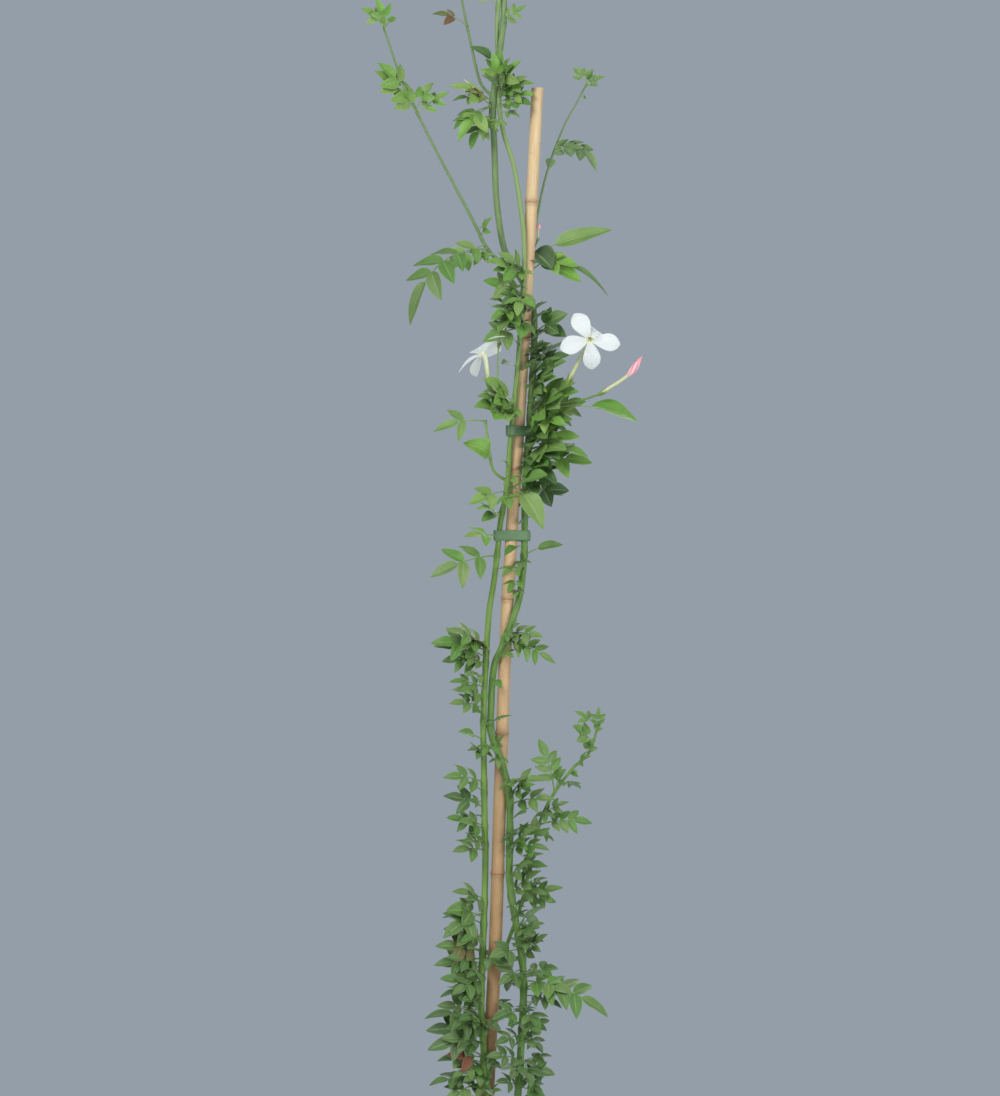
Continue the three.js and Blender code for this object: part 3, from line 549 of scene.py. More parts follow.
def leaflet(skin, at, size, half, shade):
    rows, columns = (9, 5)
    if size >= SMALL_LEAFLET:
        rows, columns = (12, 7)
    if size >= LARGE_LEAFLET:
        rows, columns = (16, 9)
    phase = 2 * math.pi * shade[2]

    def lift_at(run, side, width):
        trough = LEAFLET_FOLD * width * abs(side) ** 1.25
        wave = EDGE_WAVE * width * side**2 * np.sin(7 * run + phase + 0.9 * np.sign(side))
        return trough + wave

    blade(skin, at, size, lambda run: half * leaflet_width(run), rows, columns, shade,
          BLADE_THICKNESS, lift_at)


def leaf_facing(root, tip, roll):
    """Which way a leaf's upper face looks: up and out, and to the side that its tip is on."""
    along = unit(tip - root)
    facing = UP * FACES_UP + FRONT * (FACES_FRONT if tip[1] < BACK_BEGINS else -FACES_BACK)
    facing = unit(facing - along * (facing @ along))
    return facing * math.cos(roll) + np.cross(along, facing) * math.sin(roll)


class Growth:
    """One stem with all that grows on it: its shoots, leaves and calyxes."""

    def __init__(self, name, bark_light):
        self.name = name
        self.bark_light = bark_light
        self.shoots = Skin()
        self.leaves = Skin()
        self.calyxes = Skin()


# How light the leaves are at heights up the plant, from old leaves low down to new ones at the top:
# darker towards the bottom, which is also painted shade for the light that falls off lower down
LIGHT_HEIGHTS = [0, 300, 420, 560, 640, 760, 880, 1030]
LEAF_LIGHTS_WITH_PAINTED_SHADE = [0.3, 0.34, 0.42, 0.5, 0.66, 0.7, 0.76, 0.86]
LIGHT_RANGE = 0.3
LEAFLET_LIGHT_RANGE = 0.12


def add_leaf(growth, root, tip, pairs, seed, arch=None, roll=0.0, light=None, wither=0.0, broad=1.0,
             stalk=None):
    """A pinnate leaf from a point inside its stem to its tip, with pairs of leaflets and one at its end.
    Its row may give how far it arches, its roll, how light or withered it is, how broad its leaflets
    are, and the share of its length at which the end leaflet begins."""
    draw = draws(seed)
    tint = draws(seed + 5000)
    along = tip - root
    length = np.linalg.norm(along)
    along = along / length
    facing = leaf_facing(root, tip, roll + ROLL_RANGE * (draw() - 0.5))
    across = np.cross(along, facing)
    natural = ARCH_LEAST + ARCH_RANGE * draw()
    rise = (natural if arch is None else arch) * length
    # A leaf's light comes from its height, darker lower down as painted shade, unless its row gives one
    leaf_light = np.interp(root[2], LIGHT_HEIGHTS, LEAF_LIGHTS_WITH_PAINTED_SHADE) if light is None else light
    leaf_light += LIGHT_RANGE * (tint() - 0.5)

    def rib_point(share):
        return root + along * share * length + facing * 4 * rise * share * (1 - share)

    def rib_slope(share):
        return unit(along * length + facing * 4 * rise * (1 - 2 * share))

    def leaflet_shade():
        own_light = leaf_light + LEAFLET_LIGHT_RANGE * (tint() - 0.5)
        return (own_light, wither * (0.7 + 0.6 * tint()), tint())

    def half_share():
        return (LEAFLET_HALF_WIDTH + LEAFLET_WIDTH_RANGE * draw()) * BREADTH * broad

    end_share = END_LEAFLET_SHARES[pairs] if stalk is None else stalk
    last_share = end_share - LAST_PAIR_GAP
    first_share = FIRST_PAIR_SHARE if pairs > 1 else last_share
    for i in range(pairs):
        share = between(first_share, last_share, i / max(1, pairs - 1))
        for hand in (1, -1):
            spread = PAIR_SPREAD - PAIR_SPREAD_LOSS * share + SPREAD_RANGE * (draw() - 0.5)
            growing = PAIR_LEAST + PAIR_GAIN * share + PAIR_RANGE * draw()
            size = PAIR_LENGTH_SHARES[pairs] * length * growing * PAIR_GROWTH
            sag = SAG_LEAST + SAG_RANGE * draw()
            half = size * half_share()
            slope = rib_slope(share)
            normal = unit(np.cross(across, slope))
            start = rib_point(share) + across * hand * RIB_WIDTH * 0.15
            outward = slope * math.cos(spread) + across * hand * math.sin(spread)
            sideways = np.cross(outward, normal)

            def at(run, offset, lift):
                raised = normal * (lift - sag * size * run**2)
                return start + outward * run * size + sideways * offset + raised

            leaflet(growth.leaves, at, size, half, leaflet_shade())
    slope = rib_slope(end_share)
    normal = unit(np.cross(across, slope))
    start = rib_point(end_share)
    bow = (tip - start) @ normal
    reach = (tip - start) @ slope
    end_length = (1 - end_share) * length
    half = end_length * half_share()

    def end_at(run, offset, lift):
        return start + slope * run * reach + across * offset + normal * (lift + bow * run**2)

    leaflet(growth.leaves, end_at, end_length, half, leaflet_shade())

    shares = np.linspace(0, end_share + 0.01, PETIOLE_POINTS)
    line = np.array([rib_point(share) for share in shares])
    thick = min(1, 0.55 + length / 80)
    radii = between(PETIOLE_RADIUS, RACHIS_RADIUS, np.linspace(0, 1, PETIOLE_POINTS) ** 0.7) * thick
    radii[0] *= PETIOLE_FOOT
    stalk_shade = (between(leaf_light, growth.bark_light, 0.4) + 0.15, 0.0, tint())
    growth.shoots.tube(round_rings(line, radii, 6), round_places(shares * length, 6), stalk_shade)


# Leaves of each stem and shoot, as rows of (height of its joint, tip, pairs of leaflets), some with
# what sets that leaf apart. A low light on a leaf deep in a clump is painted shade.

RIGHT_STEM_LEAVES = [
    (214, (52, -20, 206), 2), (232, (30, 26, 240), 2), (262, (41, -14, 250), 2), (268, (20, -32, 262), 2),
    (292, (41, 6, 276), 2), (306, (39, -20, 293), 1),
    (320, (83, -12, 301), 3, dict(arch=0.17, light=0.38, broad=0.9)), (338, (44, -16, 355), 2),
    (346, (30, -26, 345), 2), (352, (43, 8, 372), 2), (378, (40, -14, 396), 2), (410, (45, -12, 409), 2),
    (420, (34, 16, 420), 1), (438, (49, -14, 442), 2), (446, (27, -24, 455), 2), (488, (13, -27, 494), 1),
    (546, (49, -13, 530), 3, dict(broad=0.8)), (550, (41, -20, 547), 2),
    (600, (54, -10, 607), 0, dict(arch=0.12, broad=0.85, light=0.4)),
    (634, (54, 8, 639), 2, dict(light=0.1)), (645, (46, 20, 656), 2),
    (652, (50, -24, 646), 1, dict(light=0.1, broad=1.3)), (660, (73, -7, 660), 2),
    (664, (44, -20, 662), 2), (669, (62, 12, 668), 2), (672, (65, -12, 677), 1), (690, (56, -24, 684), 2),
    (692, (69, -4, 700), 3), (696, (60, 12, 684), 2), (704, (50, -17, 716), 2), (716, (57, 12, 739), 2),
    (726, (40, 26, 741), 2), (744, (57, -10, 757), 1, dict(light=0.45, broad=1.4, arch=0.1)),
    (888, (-6, -13, 863), 2), (892, (-17, -12, 876), 1), (896, (-18, -6, 895), 2),
    (946, (30, -7, 957), 2), (982, (34, 4, 994), 2), (1010, (0, -4, 1026), 1),
]
LEFT_STEM_LEAVES = [
    (206, (-30, -26, 198), 2), (236, (-22, -30, 238), 1), (262, (-33, -18, 257), 3),
    (274, (-22, -20, 277), 1, dict(wither=0.8)), (290, (-35, -10, 292), 2), (298, (-14, -24, 300), 2),
    (316, (-19, -14, 320), 2), (332, (-27, 2, 334), 2),
    (342, (-29, -14, 347), 2, dict(wither=0.28, broad=1.1)), (360, (-25, 6, 364), 1),
    (374, (-10, -14, 377), 1), (412, (-11, -17, 415), 2), (424, (-22, -6, 430), 2),
    (446, (-14, 8, 453), 1), (452, (-24, -12, 456), 2), (492, (-4, -18, 499), 0),
    (508, (-18, -8, 513), 2), (530, (-25, 2, 531), 2), (538, (-32, -12, 543), 2),
    (600, (-32, -15, 586), 2, dict(broad=0.85)), (628, (1, -15, 622), 0, dict(broad=1.4)),
    (642, (-7, -17, 633), 1, dict(broad=1.2, light=0.75)),
    (640, (44, -30, 652), 0, dict(broad=1.4, light=0.6)),
    (646, (41, -28, 617), 0, dict(arch=0.2, broad=1.2, light=0.62)), (698, (-2, -21, 703), 2),
    (760, (7, -27, 752), 2), (770, (24, -34, 754), 2), (778, (3, -27, 790), 1), (894, (36, -9, 899), 2),
    (898, (31, -7, 911), 2), (902, (27, -13, 921), 1), (956, (-6, -12, 971), 1),
    (1010, (22, -5, 1030), 1),
]
LOW_STEM_LEAVES = [
    (190, (-36, 22, 186), 2), (236, (-30, 26, 244), 2), (284, (-24, 26, 296), 2), (326, (22, 34, 336), 2),
    (374, (54, 2, 384), 2), (398, (36, 22, 406), 1), (425, (73, -2, 426), 3), (446, (38, -3, 481), 3),
    (452, (66, 8, 448), 2), (464, (72, -16, 470), 1), (488, (77, -12, 502), 2), (489, (61, -6, 499), 1),
]
UPPER_LEFT_LEAVES = [
    (799, (-45, -24, 749), 3, dict(arch=0.26, roll=0.4, broad=0.85, light=0.5)), (806, (8, -18, 819), 1),
    (890, (-68, -30, 913), 2), (886, (-20, -17, 900), 2), (940, (-77, -34, 953), 1),
    (940, (-54, -23, 948), 0, dict(broad=1.5)), (940.6, (-67, -37, 959), 1),
]
UPPER_RIGHT_LEAVES = [
    (788, (47, 23, 799), 0), (796, (86, 5, 812), 0, dict(arch=0.05, broad=0.62, light=0.6, stalk=0.32)),
    (794, (84, 5, 768), 0, dict(roll=-1.2, broad=0.5, light=0.75)),
    (866, (76, 22, 851), 2, dict(arch=0.3, broad=1.3)), (862, (45, 25, 853), 0, dict(broad=1.6)),
    (904, (82, 22, 913), 1, dict(broad=1.4, light=0.95)),
    (908, (61, 18, 919), 1, dict(broad=1.5, light=0.95)),
]
UPRIGHT_LEAVES = [
    (944, (-31, -11, 951), 1, dict(wither=0.4, light=0.3)), (982, (-20, -10, 998), 1),
]
LEFT_SPUR_LEAVES = [
    (687, (-30, -19, 680), 1, dict(arch=0.16, broad=0.75)),
    (664, (-11, -19, 673), 0, dict(arch=0.2, broad=1.7, stalk=0.12, light=0.85)),
]
FLOWER_SPUR_LEAVES = [
    (696, (103, -16, 686), 0, dict(arch=0.1, roll=-0.6, light=0.55, broad=1.1)),
]


# More leaves that fill the clumps, as rows of the same kind. Their low lights are painted shade in the
# clumps' depths.

RIGHT_STEM_FILL = [
    (262, (38, -22, 268), 2), (276, (33, -26, 256), 2), (284, (36, -4, 292), 2), (300, (30, -24, 308), 2),
    (254, (10, -22, 260), 2), (272, (4, -20, 276), 2), (288, (10, -22, 284), 2), (304, (8, -20, 300), 1),
    (332, (12, -20, 322), 1), (344, (6, -18, 340), 1, dict(broad=1.3)), (296, (18, -24, 296), 1),
    (330, (40, -10, 328), 2), (324, (60, -16, 316), 2, dict(light=0.55, broad=1.3)),
    (318, (56, -4, 312), 2, dict(light=0.35)), (340, (26, -22, 352), 2), (350, (42, -18, 362), 2),
    (358, (32, -16, 352), 2), (370, (24, -20, 372), 2), (380, (44, -6, 380), 1), (386, (34, -20, 402), 2),
    (398, (44, -4, 398), 1), (402, (26, -20, 416), 1), (410, (38, -16, 424), 1), (426, (30, -22, 434), 1),
    (440, (36, -20, 452), 2), (452, (42, -10, 454), 1), (470, (12, -20, 462), 1), (478, (2, -20, 470), 1),
    (474, (16, -14, 484), 1), (520, (14, -16, 514), 0), (538, (22, -18, 534), 2),
    (542, (32, -16, 544), 2, dict(wither=0.3)), (548, (26, -20, 556), 1), (552, (18, -18, 544), 1),
    (545, (38, -6, 540), 2, dict(broad=0.8)), (578, (22, -16, 572), 1), (584, (18, -17, 576), 1),
    (592, (14, -16, 586), 1), (598, (26, -16, 590), 1), (606, (16, -18, 600), 0),
    (590, (30, -10, 598), 1), (618, (30, -12, 626), 1, dict(light=0.3)),
    (638, (34, -18, 632), 1, dict(light=0.2)), (642, (58, -4, 642), 1, dict(light=0.1, broad=1.4)),
    (648, (40, -18, 656), 2, dict(light=0.4)), (652, (34, -20, 664), 2, dict(light=0.4)),
    (658, (52, -26, 662), 1, dict(light=0.45, broad=1.3)),
    (662, (70, -16, 664), 2, dict(broad=1.2, light=0.8)),
    (664, (38, -18, 676), 1, dict(light=0.45, broad=1.3)), (668, (50, -24, 676), 1, dict(broad=1.4)),
    (672, (60, -20, 688), 1, dict(broad=1.4)), (676, (46, -22, 690), 1, dict(light=0.35, broad=1.4)),
    (680, (66, -12, 698), 1, dict(broad=1.4, light=0.7)),
    (684, (54, -22, 704), 1, dict(broad=1.5, light=0.75)),
    (692, (62, -16, 712), 1, dict(broad=1.5, light=0.6)), (700, (66, -2, 690), 1, dict(broad=1.2)),
    (704, (44, 14, 696), 2, dict(light=0.1)), (678, (48, 18, 674), 2, dict(light=0.0)),
    (656, (48, 10, 668), 2, dict(light=0.0, broad=1.3)),
    (710, (42, -14, 722), 1, dict(light=0.3, broad=1.3)),
    (718, (58, -10, 730), 1, dict(light=0.25, broad=1.3)), (724, (46, -12, 738), 1, dict(light=0.25)),
    (730, (36, -14, 728), 1, dict(light=0.1, broad=1.4)),
    (746, (56, -8, 742), 0, dict(light=0.4, broad=1.6)),
    (750, (42, -14, 758), 1, dict(light=0.4, broad=1.4)),
    (756, (40, -12, 764), 1, dict(light=0.3, broad=1.4)),
    (738, (42, -16, 746), 1, dict(light=0.3, broad=1.4)),
    (728, (40, -18, 734), 1, dict(light=0.2, broad=1.5)),
    (716, (38, -18, 728), 1, dict(light=0.3, broad=1.5)),
    (712, (56, -14, 726), 0, dict(light=0.45, broad=1.5)),
    (708, (41, -20, 712), 1, dict(light=0.3, broad=1.5)),
    (704, (48, -18, 718), 1, dict(light=0.45, broad=1.4)),
    (698, (64, -16, 706), 1, dict(light=0.6, broad=1.4)),
    (694, (38, -22, 700), 0, dict(light=0.5, broad=1.4)),
    (668, (56, -26, 668), 1, dict(light=0.55, broad=1.5)),
    (656, (44, -26, 658), 1, dict(light=0.4, broad=1.5)),
    (646, (38, -22, 640), 1, dict(light=0.35, broad=1.3)), (884, (-12, -14, 884), 1),
    (890, (-20, -14, 904), 1), (892, (-14, -18, 868), 1, dict(broad=0.9)),
    (894, (-10, -16, 900), 1, dict(wither=0.45)), (900, (4, -18, 912), 1), (906, (8, -16, 926), 1),
    (884, (2, -16, 868), 1, dict(broad=0.8)), (972, (30, -6, 984), 1), (996, (30, -8, 1008), 1),
]
LEFT_STEM_FILL = [
    (258, (-24, -24, 244), 2), (266, (-18, -22, 262), 2), (270, (-28, -8, 272), 2),
    (250, (14, -18, 254), 1), (260, (12, -20, 270), 2), (276, (14, -18, 268), 2),
    (284, (-12, -24, 282), 2), (300, (14, -16, 292), 1), (344, (18, -14, 334), 1, dict(broad=1.2)),
    (312, (-26, -16, 314), 2), (296, (-36, -16, 300), 1), (282, (-26, -20, 288), 2),
    (288, (-34, -18, 280), 2), (296, (-22, -24, 294), 2), (304, (-28, -8, 308), 2),
    (310, (-12, -22, 312), 2), (320, (-26, -14, 326), 2, dict(light=0.4)), (326, (-18, -20, 316), 2),
    (334, (-22, -18, 340), 2), (338, (-30, -6, 334), 2), (348, (-24, -12, 358), 2, dict(broad=1.2)),
    (352, (-12, -20, 350), 1), (364, (-22, -10, 370), 1, dict(broad=1.5)), (368, (-24, -14, 352), 1),
    (376, (-18, -8, 382), 1), (420, (-14, -16, 428), 1), (436, (-24, -6, 444), 1, dict(light=0.2)),
    (408, (-18, -14, 408), 1), (466, (-6, -18, 476), 1), (476, (-2, -20, 468), 1),
    (480, (-14, -14, 486), 0), (500, (-20, -12, 504), 2, dict(broad=1.2)),
    (506, (-14, -16, 512), 1, dict(broad=1.3)), (514, (-20, -4, 518), 2), (520, (-10, -16, 522), 1),
    (528, (-18, -14, 536), 2, dict(wither=0.25)), (534, (-30, -6, 541), 2), (540, (-22, -16, 552), 2),
    (544, (-14, -18, 538), 2), (536, (-4, -20, 546), 1, dict(wither=0.35)),
    (612, (-10, -18, 612), 1, dict(light=0.7)), (624, (-2, -20, 630), 1, dict(light=0.7)),
    (640, (20, -24, 630), 1, dict(light=0.65, broad=1.2)), (650, (24, -22, 646), 1, dict(light=0.7)),
    (656, (12, -20, 662), 0), (688, (-4, -22, 696), 1, dict(broad=1.7)),
    (692, (2, -24, 714), 1, dict(broad=1.6)), (696, (18, -24, 686), 1, dict(broad=1.6)),
    (700, (10, -22, 700), 1, dict(broad=1.5)), (722, (14, -18, 724), 0, dict(light=0.0, broad=1.8)),
    (732, (22, -18, 740), 0, dict(light=0.1)), (744, (10, -20, 756), 1, dict(broad=1.5)),
    (748, (18, -24, 760), 1, dict(broad=1.5)), (690, (2, -26, 706), 1, dict(broad=1.5)),
    (684, (16, -24, 694), 1, dict(light=0.3, broad=1.4)), (752, (6, -22, 766), 2, dict(broad=1.2)),
    (758, (12, -26, 744), 1, dict(broad=1.4)), (754, (26, -28, 740), 1, dict(broad=1.4)),
    (748, (2, -22, 738), 1, dict(broad=1.2)), (764, (20, -24, 770), 1, dict(broad=1.4)),
    (768, (2, -20, 778), 2, dict(broad=1.2)), (772, (14, -26, 762), 2, dict(light=0.35)),
    (776, (24, -24, 788), 1, dict(broad=1.2)), (780, (12, -22, 796), 1),
    (784, (8, -22, 784), 1, dict(light=0.8)), (766, (28, -20, 756), 1, dict(light=0.1)),
    (888, (26, -10, 884), 1), (892, (34, -12, 892), 2, dict(broad=1.4, light=0.5)),
    (896, (22, -12, 906), 1, dict(broad=1.5, light=0.45)), (900, (35, -10, 906), 2, dict(broad=1.4)),
    (904, (22, -14, 918), 1, dict(broad=1.4, light=0.5)), (908, (14, -12, 928), 1),
    (912, (20, 6, 924), 1), (898, (28, 4, 900), 2, dict(light=0.4)),
    (916, (-6, -10, 930), 0, dict(light=0.2)), (884, (10, -16, 876), 1, dict(broad=0.9)),
    (980, (0, -12, 992), 1), (998, (28, 4, 1012), 1),
]
LOW_STEM_FILL = [
    (420, (48, 4, 414), 1), (430, (58, -4, 440), 2), (436, (42, -12, 426), 1), (448, (56, -12, 462), 1),
    (456, (64, 2, 460), 1, dict(broad=1.4)), (470, (74, -10, 482), 1, dict(broad=1.5)),
    (478, (60, -14, 490), 1, dict(broad=1.5)), (484, (78, -8, 492), 1, dict(broad=1.5)),
    (412, (36, -12, 432), 1), (392, (30, -14, 398), 1), (382, (44, 8, 390), 2),
]
UPPER_LEFT_FILL = [
    (802, (-22, -18, 784), 2, dict(broad=1.2)), (800, (-4, -14, 788), 1, dict(light=0.8)),
    (797, (4, -16, 792), 1, dict(light=0.8)), (884, (-58, -26, 902), 1, dict(broad=1.3)),
    (888, (-30, -20, 906), 1, dict(broad=1.2)), (896, (-66, -30, 918), 1), (936, (-64, -30, 950), 0),
    (812, (4, -16, 812), 0, dict(broad=1.3)),
]
UPPER_RIGHT_FILL = [
    (790, (64, 4, 788), 1, dict(light=0.9, broad=1.2)), (784, (56, 5, 796), 1, dict(light=0.85)),
    (798, (47, -4, 786), 0, dict(light=-0.25, broad=2.0, stalk=0.1)),
    (792, (66, 5, 778), 0, dict(light=0.8)), (858, (58, 22, 872), 1, dict(broad=1.3)),
    (864, (68, 20, 866), 1, dict(broad=1.2)), (900, (70, 18, 898), 1, dict(light=0.9, broad=1.3)),
    (906, (74, 20, 918), 0, dict(light=0.95, broad=1.6)),
]

# Small leaves on the stems' outer sides, as rows of (lowest joint, highest joint, number, reach)
RIGHT_THICKETS = [(160, 330, 22, 26), (330, 455, 4, 20), (640, 700, 6, 24)]
LEFT_THICKETS = [(160, 350, 26, 24), (405, 450, 3, 16), (740, 790, 6, 20)]
LOW_THICKETS = [(170, 390, 20, 24)]
THICKET_DEPTH_LIMIT = 34
THICKET_SPREAD = 2.6
THICKET_DROOP = 0.35
THICKET_CLIMB = 0.5
ONE_PAIR_SHARE = 0.35


def add_thickets(growth, course, rows, seed):
    """Small leaves in drawn directions from a stem, away from the cane and a little up or down."""
    draw = draws(seed)
    for low_joint, high_joint, number, reach in rows:
        for i in range(number):
            height = between(low_joint, high_joint, (i + draw()) / number)
            root = course.at_height(height)
            away = unit((root - cane_at(height)[0])[:2])
            turn = math.atan2(away[1], away[0]) + THICKET_SPREAD * (draw() - 0.5)
            length = reach * between(0.65, 1.1, draw())
            climb = between(-THICKET_DROOP, THICKET_CLIMB, draw())
            tip = root + place(math.cos(turn), math.sin(turn), climb) * length
            tip[1] = np.clip(tip[1], -THICKET_DEPTH_LIMIT, THICKET_DEPTH_LIMIT)
            pairs = 2 if draw() > ONE_PAIR_SHARE else 1
            add_leaf(growth, root, tip, pairs, seed + i + int(height), broad=between(0.9, 1.3, draw()))


def add_leaves(growth, course, rows, seed):
    for i, (height, tip, pairs, *shape) in enumerate(rows):
        given = shape[0] if shape else {}
        add_leaf(growth, course.at_height(height), place(*tip), pairs, seed + i, **given)


def add_shoot(growth, course, radii, joints=(), woody_below=0.0):
    """A shoot with a swelling at each leaf's joint, slightly angled, and woody up to a height."""
    whole = course.lengths()[-1]
    lengths = np.linspace(0, whole, max(6, int(whole / SHOOT_STEP)))
    line = course.along(lengths)
    radius = between(radii[0], radii[1], lengths / whole)
    swell = np.zeros(len(lengths))
    for height in joints:
        apart = lengths - course.length_at_height(height)
        swell = np.maximum(swell, np.exp(-((apart / JOINT_REACH) ** 2)))
    radius = radius * (1 + JOINT_SWELL * swell)
    turns = round_turns(SHOOT_SIDES)
    angled = radius[:, None] * (1 + STEM_ANGLES * np.cos(4 * turns))
    rings = round_rings(line, angled, SHOOT_SIDES)
    shades = np.zeros(rings.shape)
    shades[..., 0] = growth.bark_light - 0.25 * swell[:, None]
    if woody_below:
        shades[..., 1] = np.clip((woody_below - line[:, 2]) / WOODY_FADE + WOODY_LEAST, 0, 1)[:, None]
    growth.shoots.tube(rings, round_places(lengths, SHOOT_SIDES), shades)


# Calyxes, flowers and buds

def turned_to(direction):
    """Two directions square to a way, for rings round it."""
    right = unit(np.cross(direction, FRONT))
    return right, np.cross(direction, right)


def add_calyx(growth, foot, direction, size=1.0):
    """A small ribbed cup with five awl-shaped teeth."""
    sides = 20
    right, upward = turned_to(direction)
    turns = round_turns(sides)

    def ring(height, radius):
        ribbed = radius * (1 + 0.06 * np.cos(CALYX_TEETH * turns)) * size
        spokes = np.cos(turns)[:, None] * right + np.sin(turns)[:, None] * upward
        return foot + direction * height * size + spokes * ribbed[:, None]

    rings = np.array([ring(height, radius) for height, radius in CALYX_CUP])
    shade = (0.55, 0.0, 0.5)
    growth.calyxes.tube(rings, round_places([height for height, _ in CALYX_CUP], sides), shade)
    for i in range(CALYX_TEETH):
        turn = 2 * math.pi * i / CALYX_TEETH
        out = math.cos(turn) * right + math.sin(turn) * upward
        heights = np.array(TOOTH_HEIGHTS)
        line = (foot + direction * (CALYX_LENGTH + heights[:, None]) * size
                + out * (1.72 + 0.05 * heights[:, None] ** 2) * size)
        radii = np.array(TOOTH_RADII) * size
        growth.calyxes.tube(round_rings(line, radii, 6), round_places(heights + 4, 6), shade)


def tube_foot(foot, direction):
    """Where a flower's or bud's tube stands in its calyx."""
    return foot + direction * (CALYX_LENGTH - SOCKET_DEPTH + HOLE_GAP)


def petal_width(share):
    """Half the width of a petal: widest past its middle, with a blunt end and a narrow foot."""
    spread = np.sin(math.pi * np.clip(share, 0, 1) ** PETAL_WIDEST)
    foot = PETAL_FOOT_WIDTH * (1 - share) ** 3
    return PETAL_WIDTH / 2 * np.maximum(spread, 0) ** PETAL_BLUNTNESS + foot


class Bloom:
    """A flower: its petals, its tube and the anthers in its throat."""

    def __init__(self, name):
        self.name = name
        self.petals = Skin()
        self.tube = Skin()
        self.anthers = Skin()


def add_flower_tube(skin, course):
    """A slender tube that flares at its mouth, with its inside as far down as it can be seen."""
    whole = course.lengths()[-1]
    lengths = np.linspace(0, whole, 26)
    radii = between(TUBE_RADII[0], TUBE_RADII[1], lengths / whole)
    flare = np.clip((lengths - whole + FLARE_LENGTH) / FLARE_LENGTH, 0, 1)
    radii = radii + (THROAT_RADIUS - TUBE_RADII[1] - 0.1) * flare**2.4
    line = course.along(lengths)
    _, right_way, upward_way = square_to(line)
    inside = slice(-2, -9, -1)
    line = np.vstack([line, line[inside]])
    radii = np.concatenate([radii, np.maximum(radii[inside] - 0.35, 0.7)])
    depths = np.concatenate([lengths, lengths[inside]])
    rights = np.vstack([right_way, right_way[inside]])
    upwards = np.vstack([upward_way, upward_way[inside]])
    sides = 20
    turns = round_turns(sides)
    rings = (line[:, None] + radii[:, None, None] * (
        np.cos(turns)[:, None] * rights[:, None] + np.sin(turns)[:, None] * upwards[:, None]))
    shades = np.zeros(rings.shape)
    shades[..., 0] = (depths / whole)[:, None]
    skin.tube(rings, round_places(depths, sides), shades)


def add_petal(skin, centre, face, outward, fold, number, light):
    """A petal that spreads from its flower's centre and folds back, dished and rippled."""
    sideways = np.cross(outward, face)

    def at(run, offset, lift):
        bent = fold * run
        into = np.clip(1 - run / 0.16, 0, 1) ** 2
        out = THROAT_RADIUS * PETAL_FOOT + run * PETAL_LENGTH * np.cos(bent) * PETAL_STRETCH
        back = run * PETAL_LENGTH * np.sin(bent) + PETAL_DIP * into
        raised = lift + PETAL_TWIST * offset - back
        return centre + outward * out + sideways * offset + face * raised

    def lift_at(run, side, half):
        cup = PETAL_FOLD * half * abs(side) ** 1.6
        ripple = 0.35 * np.sin(5 * run + 1.7 * number) * run * side**2
        furrow = 0.25 * np.exp(-((side / 0.25) ** 2)) * (1 - run)
        dish = 0.9 * np.sin(math.pi * np.clip(run, 0, 1)) - furrow
        return cup + ripple + dish

    shade = (light, 0.0, number / CALYX_TEETH)
    blade(skin, at, PETAL_LENGTH, petal_width, 20, 11, shade, PETAL_THICKNESS, lift_at)


def add_flower(bloom, foot, direction, bend, face, petals, light):
    """A slender curved tube that opens into five spreading petals. petals gives each petal's turn in
    degrees, anticlockwise from the right, and how far it folds back, in radians. light says how white
    they are: painted light, with a brighter white for a flower that faces away from the lamps."""
    centre = bend + face * 4
    add_flower_tube(bloom.tube, Course([tube_foot(foot, direction), bend, centre]))
    right = unit(np.cross(UP, face))
    upward = np.cross(face, right)
    for i, (turn, fold) in enumerate(petals):
        angle = math.radians(turn)
        outward = right * math.cos(angle) + upward * math.sin(angle)
        add_petal(bloom.petals, centre, face, outward, fold, i, light)
    heights = np.array(ANTHER_HEIGHTS)
    for hand in (1, -1):
        line = centre + face * (heights[:, None] - 0.7) + right * hand * 0.5
        rings = round_rings(line, ANTHER_RADII, 8)
        bloom.anthers.tube(rings, round_places(heights, 8), (0.5, 0.0, 0.5))


def add_bud(skin, foot, direction, bend, tip, girth=1.0, blush=1.0):
    """A bud: its tube swells into a pointed head of furled petals, wound round each other. blush says
    how pink it is."""
    course = Course([tube_foot(foot, direction), bend, tip])
    whole = course.lengths()[-1]
    shares = np.linspace(0, 1, 46)
    head = np.clip((shares - BUD_HEAD_SHARE) / (1 - BUD_HEAD_SHARE), 0, 1)
    radii = BUD_TUBE_RADIUS + BUD_SWELL * np.sin(math.pi * head**0.8) - BUD_POINT * head**3
    radii[-1] *= 0.5
    sides = 40
    turns = round_turns(sides)
    wound = (turns * 5 / (2 * math.pi) + head[:, None] * 1.4) % 1
    folds = 1 + 0.13 * np.sin(math.pi * head[:, None]) * (wound**2.2 - 0.3)
    line = course.along(shares * whole)
    rings = round_rings(line, radii[:, None] * folds * girth, sides)
    shades = np.zeros(rings.shape)
    shades[..., 0] = shares[:, None]
    shades[..., 1] = wound
    shades[..., 2] = blush
    skin.tube(rings, round_places(shares * whole, sides), shades)


# Cane

